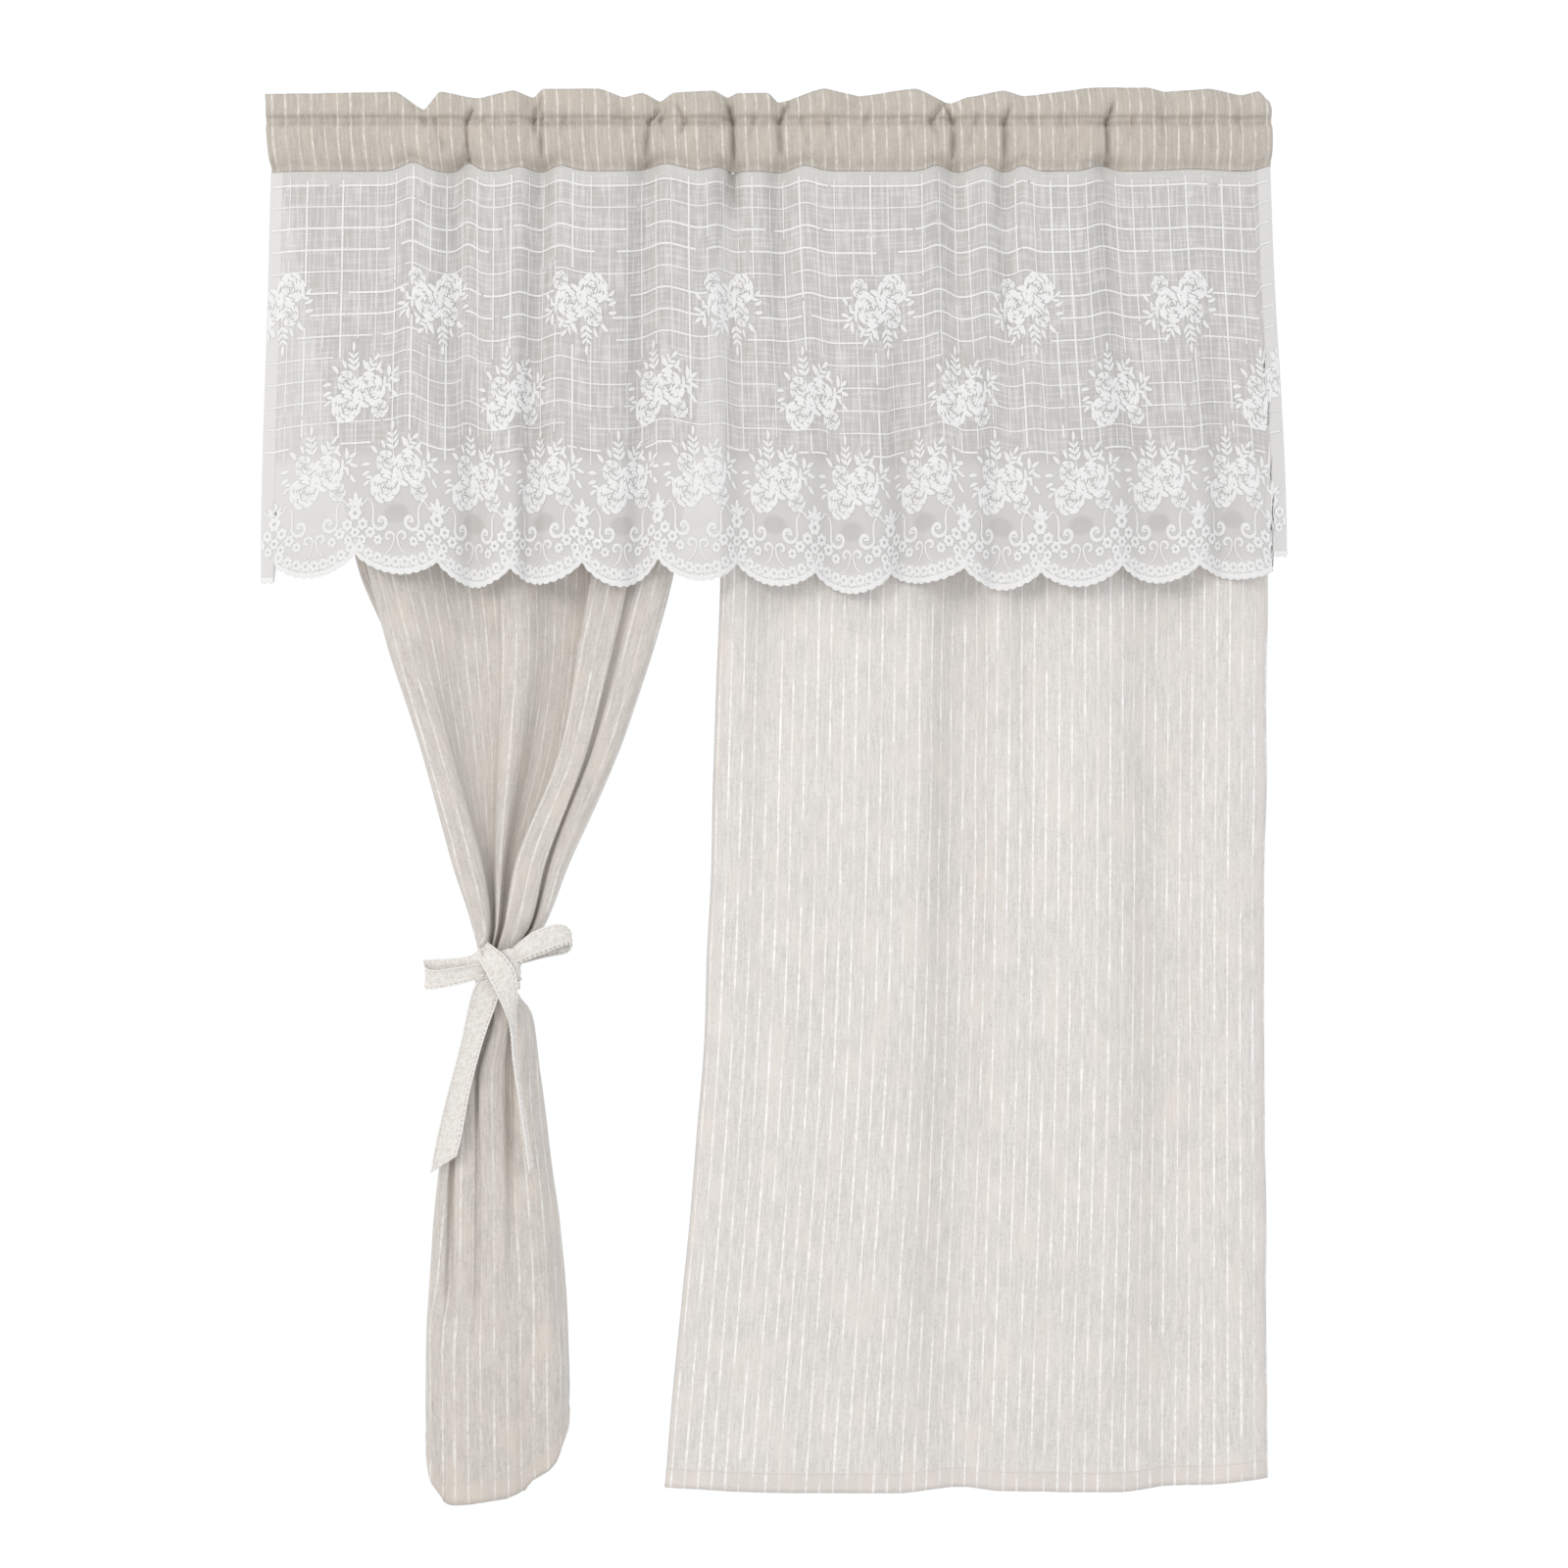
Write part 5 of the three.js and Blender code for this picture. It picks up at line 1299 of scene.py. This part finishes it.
def linen(name, base, shade, stripe, faintest, stripe_width, hemmed=None):
    """Slubby linen with white stripes. faintest is what is left of a stripe where it fades, and
    hemmed is the width and the drop of a hemmed panel, whose doubled hems are painted in shade."""
    m = Maker(name)
    u, v = m.flat_place()
    grain = m.weave(u, v)
    cloud = m.patches(u, v, *LINEN_CLOUD)
    tone = m.math("MULTIPLY_ADD", cloud, 0.15, m.scaled(m.ramp(grain, 0.36, 0.64), 0.2))
    tone = m.math("MULTIPLY_ADD", m.patches(u, v, *LINEN_SLUB), 0.4, tone)
    tone = m.math("MULTIPLY_ADD", m.patches(u, v, *LINEN_MOTTLE), 0.25, tone)
    colour = m.mix(tone, (*shade, 1), (*base, 1))
    if hemmed:
        # Painted shade on the doubled hems, where less light comes through the cloth.
        colour = m.mix(hem_shade_mask(m, u, v, *hemmed), colour, tinted(base, DOUBLED_SHADE))
    colour = m.mix(m.patches(u, v, *LINEN_WARMTH), colour, tinted(base, WARMER))
    colour = m.mix(m.patches(u, v, *LINEN_FLECKS), colour, FLECK)
    line = white_stripes(m, u, v, stripe_width, faintest)
    m.join(m.finish.inputs["Base Color"], m.mix(line, colour, (*stripe, 1)))
    m.cloth()
    m.finish.inputs["Sheen Weight"].default_value = 0.12
    m.bump(m.math("MULTIPLY_ADD", line, 0.8, grain), 0.0006, 0.7)
    return m.material


TIE_SHADE = (0.63, 0.595, 0.545, 1)
TIE_PALE = (0.80, 0.775, 0.735, 1)
TIE_EDGE_HIGHLIGHT = (0.92, 0.90, 0.87, 1)
TIE_HOLE = (0.33, 0.29, 0.25, 1)


def plain_linen():
    """The tie's plain linen, with the stitches of its rolled hems and a painted highlight along its
    edges.
    """
    m = Maker("tie_linen")
    u, v = m.flat_place()
    grain = m.weave(u, v)
    mottle = m.patches(u, v, 300.0, 220.0, 2.0, 0.36, 0.62)
    threads = m.scaled(m.ramp(grain, 0.36, 0.64), 0.5)
    colour = m.mix(m.math("MULTIPLY_ADD", mottle, 0.5, threads), TIE_SHADE, TIE_PALE)
    half, hem = TIE_WIDTH / 2 * MM, TIE_HEM * MM
    edge = m.math("SUBTRACT", half, m.math("ABSOLUTE", m.math("SUBTRACT", u, half)))
    # A painted highlight along the strip's rolled edges.
    colour = m.mix(m.ramp(edge, 0.0, hem, 0.6, 0.0), colour, TIE_EDGE_HIGHLIGHT)
    row = m.math("ABSOLUTE", m.math("SUBTRACT", edge, hem))
    beads = m.math("COSINE", m.scaled(v, 2 * math.pi / (TIE_STITCH * MM)))
    shown = m.ramp(u, 0.4 * TIE_WIDTH * MM, 0.6 * TIE_WIDTH * MM, 0.15, 0.65)
    hole = m.scaled(m.ramp(row, 0.4 * MM, 1.1 * MM, 1.0, 0.0), m.ramp(beads, 0.1, 0.6))
    colour = m.mix(m.scaled(hole, shown), colour, TIE_HOLE)
    m.join(m.finish.inputs["Base Color"], colour)
    m.cloth()
    m.bump(grain, 0.0006, 0.8)
    return m.material


NET_GREY = (0.535, 0.517, 0.492, 1)
NET_WHITE = (0.80, 0.795, 0.78, 1)
# What each part of the net adds to its cover and to its whiteness, where the open field between
# its threads has the cover NET_OPEN, and NET_MOST is never passed.
NET_COVER = dict(field=0.06, low=0.02, dense=0.08, window=-0.08)
NET_WHITER = dict(field=0.30, low=0.34, dense=0.52, window=-0.16)
NET_OPEN = 0.88
NET_MOST = 0.97


def net_parts(m, u, v):
    """1 on each part of the net: dense at its hems and edge, low under the panes, window under a
    bunch, and field between, streaked by its threads."""
    upright = m.patches(u, v, 330.0, 24.0, 2.0, 0.42, 0.66)
    level = m.patches(u, v, 24.0, 330.0, 2.0, 0.45, 0.68)
    low = m.ramp(v, 282 * MM, 305 * MM)
    hem, scallop = LACE_SIDE_HEM * MM, LACE_SCALLOP * MM
    part = m.math("FRACT", m.math("DIVIDE", m.math("SUBTRACT", u, hem), scallop))
    belly = m.math("POWER", m.math("SINE", m.scaled(part, math.pi)), SCALLOP_FULLNESS)
    edge = m.math("MULTIPLY_ADD", belly, (LACE_LOW - LACE_CUSP) * MM, LACE_CUSP * MM)
    close = m.ramp(m.math("SUBTRACT", edge, v), 12 * MM, 30 * MM, 1.0, 0.0)
    top = m.ramp(v, 12 * MM, 15 * MM, 0.5, 0.0)
    left = m.ramp(u, hem - 2 * MM, hem, 1.0, 0.0)
    right = m.ramp(u, LACE_WIDTH * MM - hem, LACE_WIDTH * MM - hem + 2 * MM)
    dense = m.math("MAXIMUM", m.math("MAXIMUM", left, right), m.math("MAXIMUM", top, close))
    streaks = m.math("MULTIPLY_ADD", level, 0.7, upright)
    field = m.scaled(streaks, m.math("SUBTRACT", 1.0, low))
    above = m.math("SUBTRACT", v, LACE_WINDOW["v"] * MM)
    above = m.math("DIVIDE", above, LACE_WINDOW["high"] * MM)
    beside = m.scaled(m.math("SUBTRACT", part, 0.5), LACE_SCALLOP / LACE_WINDOW["wide"])
    out = m.math("MULTIPLY_ADD", above, above, m.scaled(beside, beside))
    return dict(field=field, low=low, dense=dense, window=m.ramp(out, 0.4, 1.4, 1.0, 0.0))


def net():
    """Sheer net: close at its hems, its top band and along its scallops, more open between."""
    m = Maker("lace_net")
    parts = net_parts(m, *m.flat_place())
    alpha = NET_OPEN
    for name, cover in NET_COVER.items():
        alpha = m.math("MULTIPLY_ADD", parts[name], cover, alpha)
    m.join(m.finish.inputs["Alpha"], m.math("MINIMUM", alpha, NET_MOST))
    whiter = 0.0
    for name in ("low", "dense", "field"):
        whiter = m.math("MAXIMUM", m.scaled(parts[name], NET_WHITER[name]), whiter)
    whiter = m.math("MULTIPLY_ADD", parts["window"], NET_WHITER["window"], whiter)
    m.join(m.finish.inputs["Base Color"], m.mix(whiter, NET_GREY, NET_WHITE))
    m.cloth(0.9, 0.15)
    return m.material


def thread(name, dark, pale):
    """Satin thread of the lace's figures, or of the stitches."""
    m = Maker(name)
    place = m.node("TexCoord").outputs["Object"]
    fine = m.node("TexNoise", {"Vector": place, "Scale": 900.0, "Detail": 2.0}).outputs["Fac"]
    m.join(m.finish.inputs["Base Color"], m.mix(m.ramp(fine, 0.3, 0.7), (*dark, 1), (*pale, 1)))
    m.cloth(0.75, 0.25)
    m.bump(fine, 0.0004, 0.5)
    return m.material


def floor():
    """A pale floor below the curtain."""
    bm = bmesh.new()
    bmesh.ops.create_grid(bm, x_segments=1, y_segments=1, size=1)
    place = Matrix.Translation((0, -0.4, -1.62)) @ Matrix.Diagonal((1.6, 0.8, 1, 1))
    bmesh.ops.transform(bm, verts=bm.verts, matrix=place)
    m = Maker("floor")
    m.finish.inputs["Base Color"].default_value = (0.85, 0.85, 0.84, 1)
    m.finish.inputs["Roughness"].default_value = 0.9
    add_object("floor", mesh_from(bm, "floor"), m.material)


def studio():
    """The camera in front of the curtain, a white room and one soft lamp on the left."""
    camera = bpy.data.objects.new("camera", bpy.data.cameras.new("camera"))
    camera.location = EYE * MM
    camera.rotation_euler = (math.pi / 2, 0, 0)
    camera.data.sensor_width = 36
    camera.data.lens = camera.data.sensor_width * -EYE[1] / VIEW_WIDTH
    bpy.context.scene.collection.objects.link(camera)
    bpy.context.scene.camera = camera
    bpy.context.scene.view_settings.view_transform = "Standard"
    world = bpy.data.worlds.new("studio")
    world.use_nodes = True
    background = world.node_tree.nodes["Background"]
    background.inputs["Color"].default_value = (1.0, 1.015, 1.045, 1)
    background.inputs["Strength"].default_value = 1.0
    bpy.context.scene.world = world
    lamp = bpy.data.lights.new("key", "AREA")
    lamp.energy = 58
    lamp.color = (1.0, 0.945, 0.87)
    lamp.size = 1.8
    key = bpy.data.objects.new("key", lamp)
    key.location = (-2.9, -4.1, 1.5)
    aim = Vector((0, 0, -0.6)) - key.location
    key.rotation_euler = aim.to_track_quat("-Z", "Y").to_euler()
    bpy.context.scene.collection.objects.link(key)


# The striped linens: base and shaded colour, the stripes' colour, what is left of a stripe where it
# fades, the stripes' width, and the width and the drop of a hemmed panel.
LINENS = dict(
    # The heading's linen is the panels' linen painted darker: painted shade of the shadowed,
    # doubled heading, which lets less light through from behind.
    heading_linen=dict(
        base=(0.55, 0.50, 0.44), shade=(0.41, 0.375, 0.325), stripe=(0.69, 0.65, 0.59),
        faintest=0.45, stripe_width=2.4),
    free_linen=dict(
        base=(0.755, 0.72, 0.685), shade=(0.575, 0.55, 0.52), stripe=(0.89, 0.87, 0.84),
        faintest=0.22, stripe_width=2.4, hemmed=(FREE_WIDTH, FREE_LEVELS[0]["z"] - FREE_HEM_Z)),
    # The gathered panel's linen is the free panel's linen painted darker, as painted shade of its
    # deep gathers.
    gathered_linen_painted_shade=dict(
        base=(0.665, 0.62, 0.57), shade=(0.475, 0.445, 0.405), stripe=(0.755, 0.725, 0.68),
        faintest=0.3, stripe_width=2.6, hemmed=(TIED_WIDTH, TIED_LEVELS[0]["z"] - TIED_HEM_Z)),
)

studio()
floor()
material_of = {name: linen(name, **row) for name, row in LINENS.items()}
material_of.update(
    tie=plain_linen(), net=net(),
    lace_thread=thread("lace_thread", (0.71, 0.705, 0.69), (0.82, 0.815, 0.80)),
    stitch_thread=thread("stitch_thread", (0.55, 0.53, 0.50), (0.68, 0.66, 0.63)))
PIECES = [
    ("heading", "heading_linen", heading(material_of["heading_linen"])),
    ("panel_left", "panel_linen", tied_panel(material_of["gathered_linen_painted_shade"])),
    ("panel_right", "panel_linen", free_panel(material_of["free_linen"])),
    ("lace_valance", "lace", lace_valance()),
    ("tie", "tie_linen", tie(material_of["tie"])),
]
for node, slot, pieces in PIECES:
    for piece in pieces:
        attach(piece, "root")
        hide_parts(node)
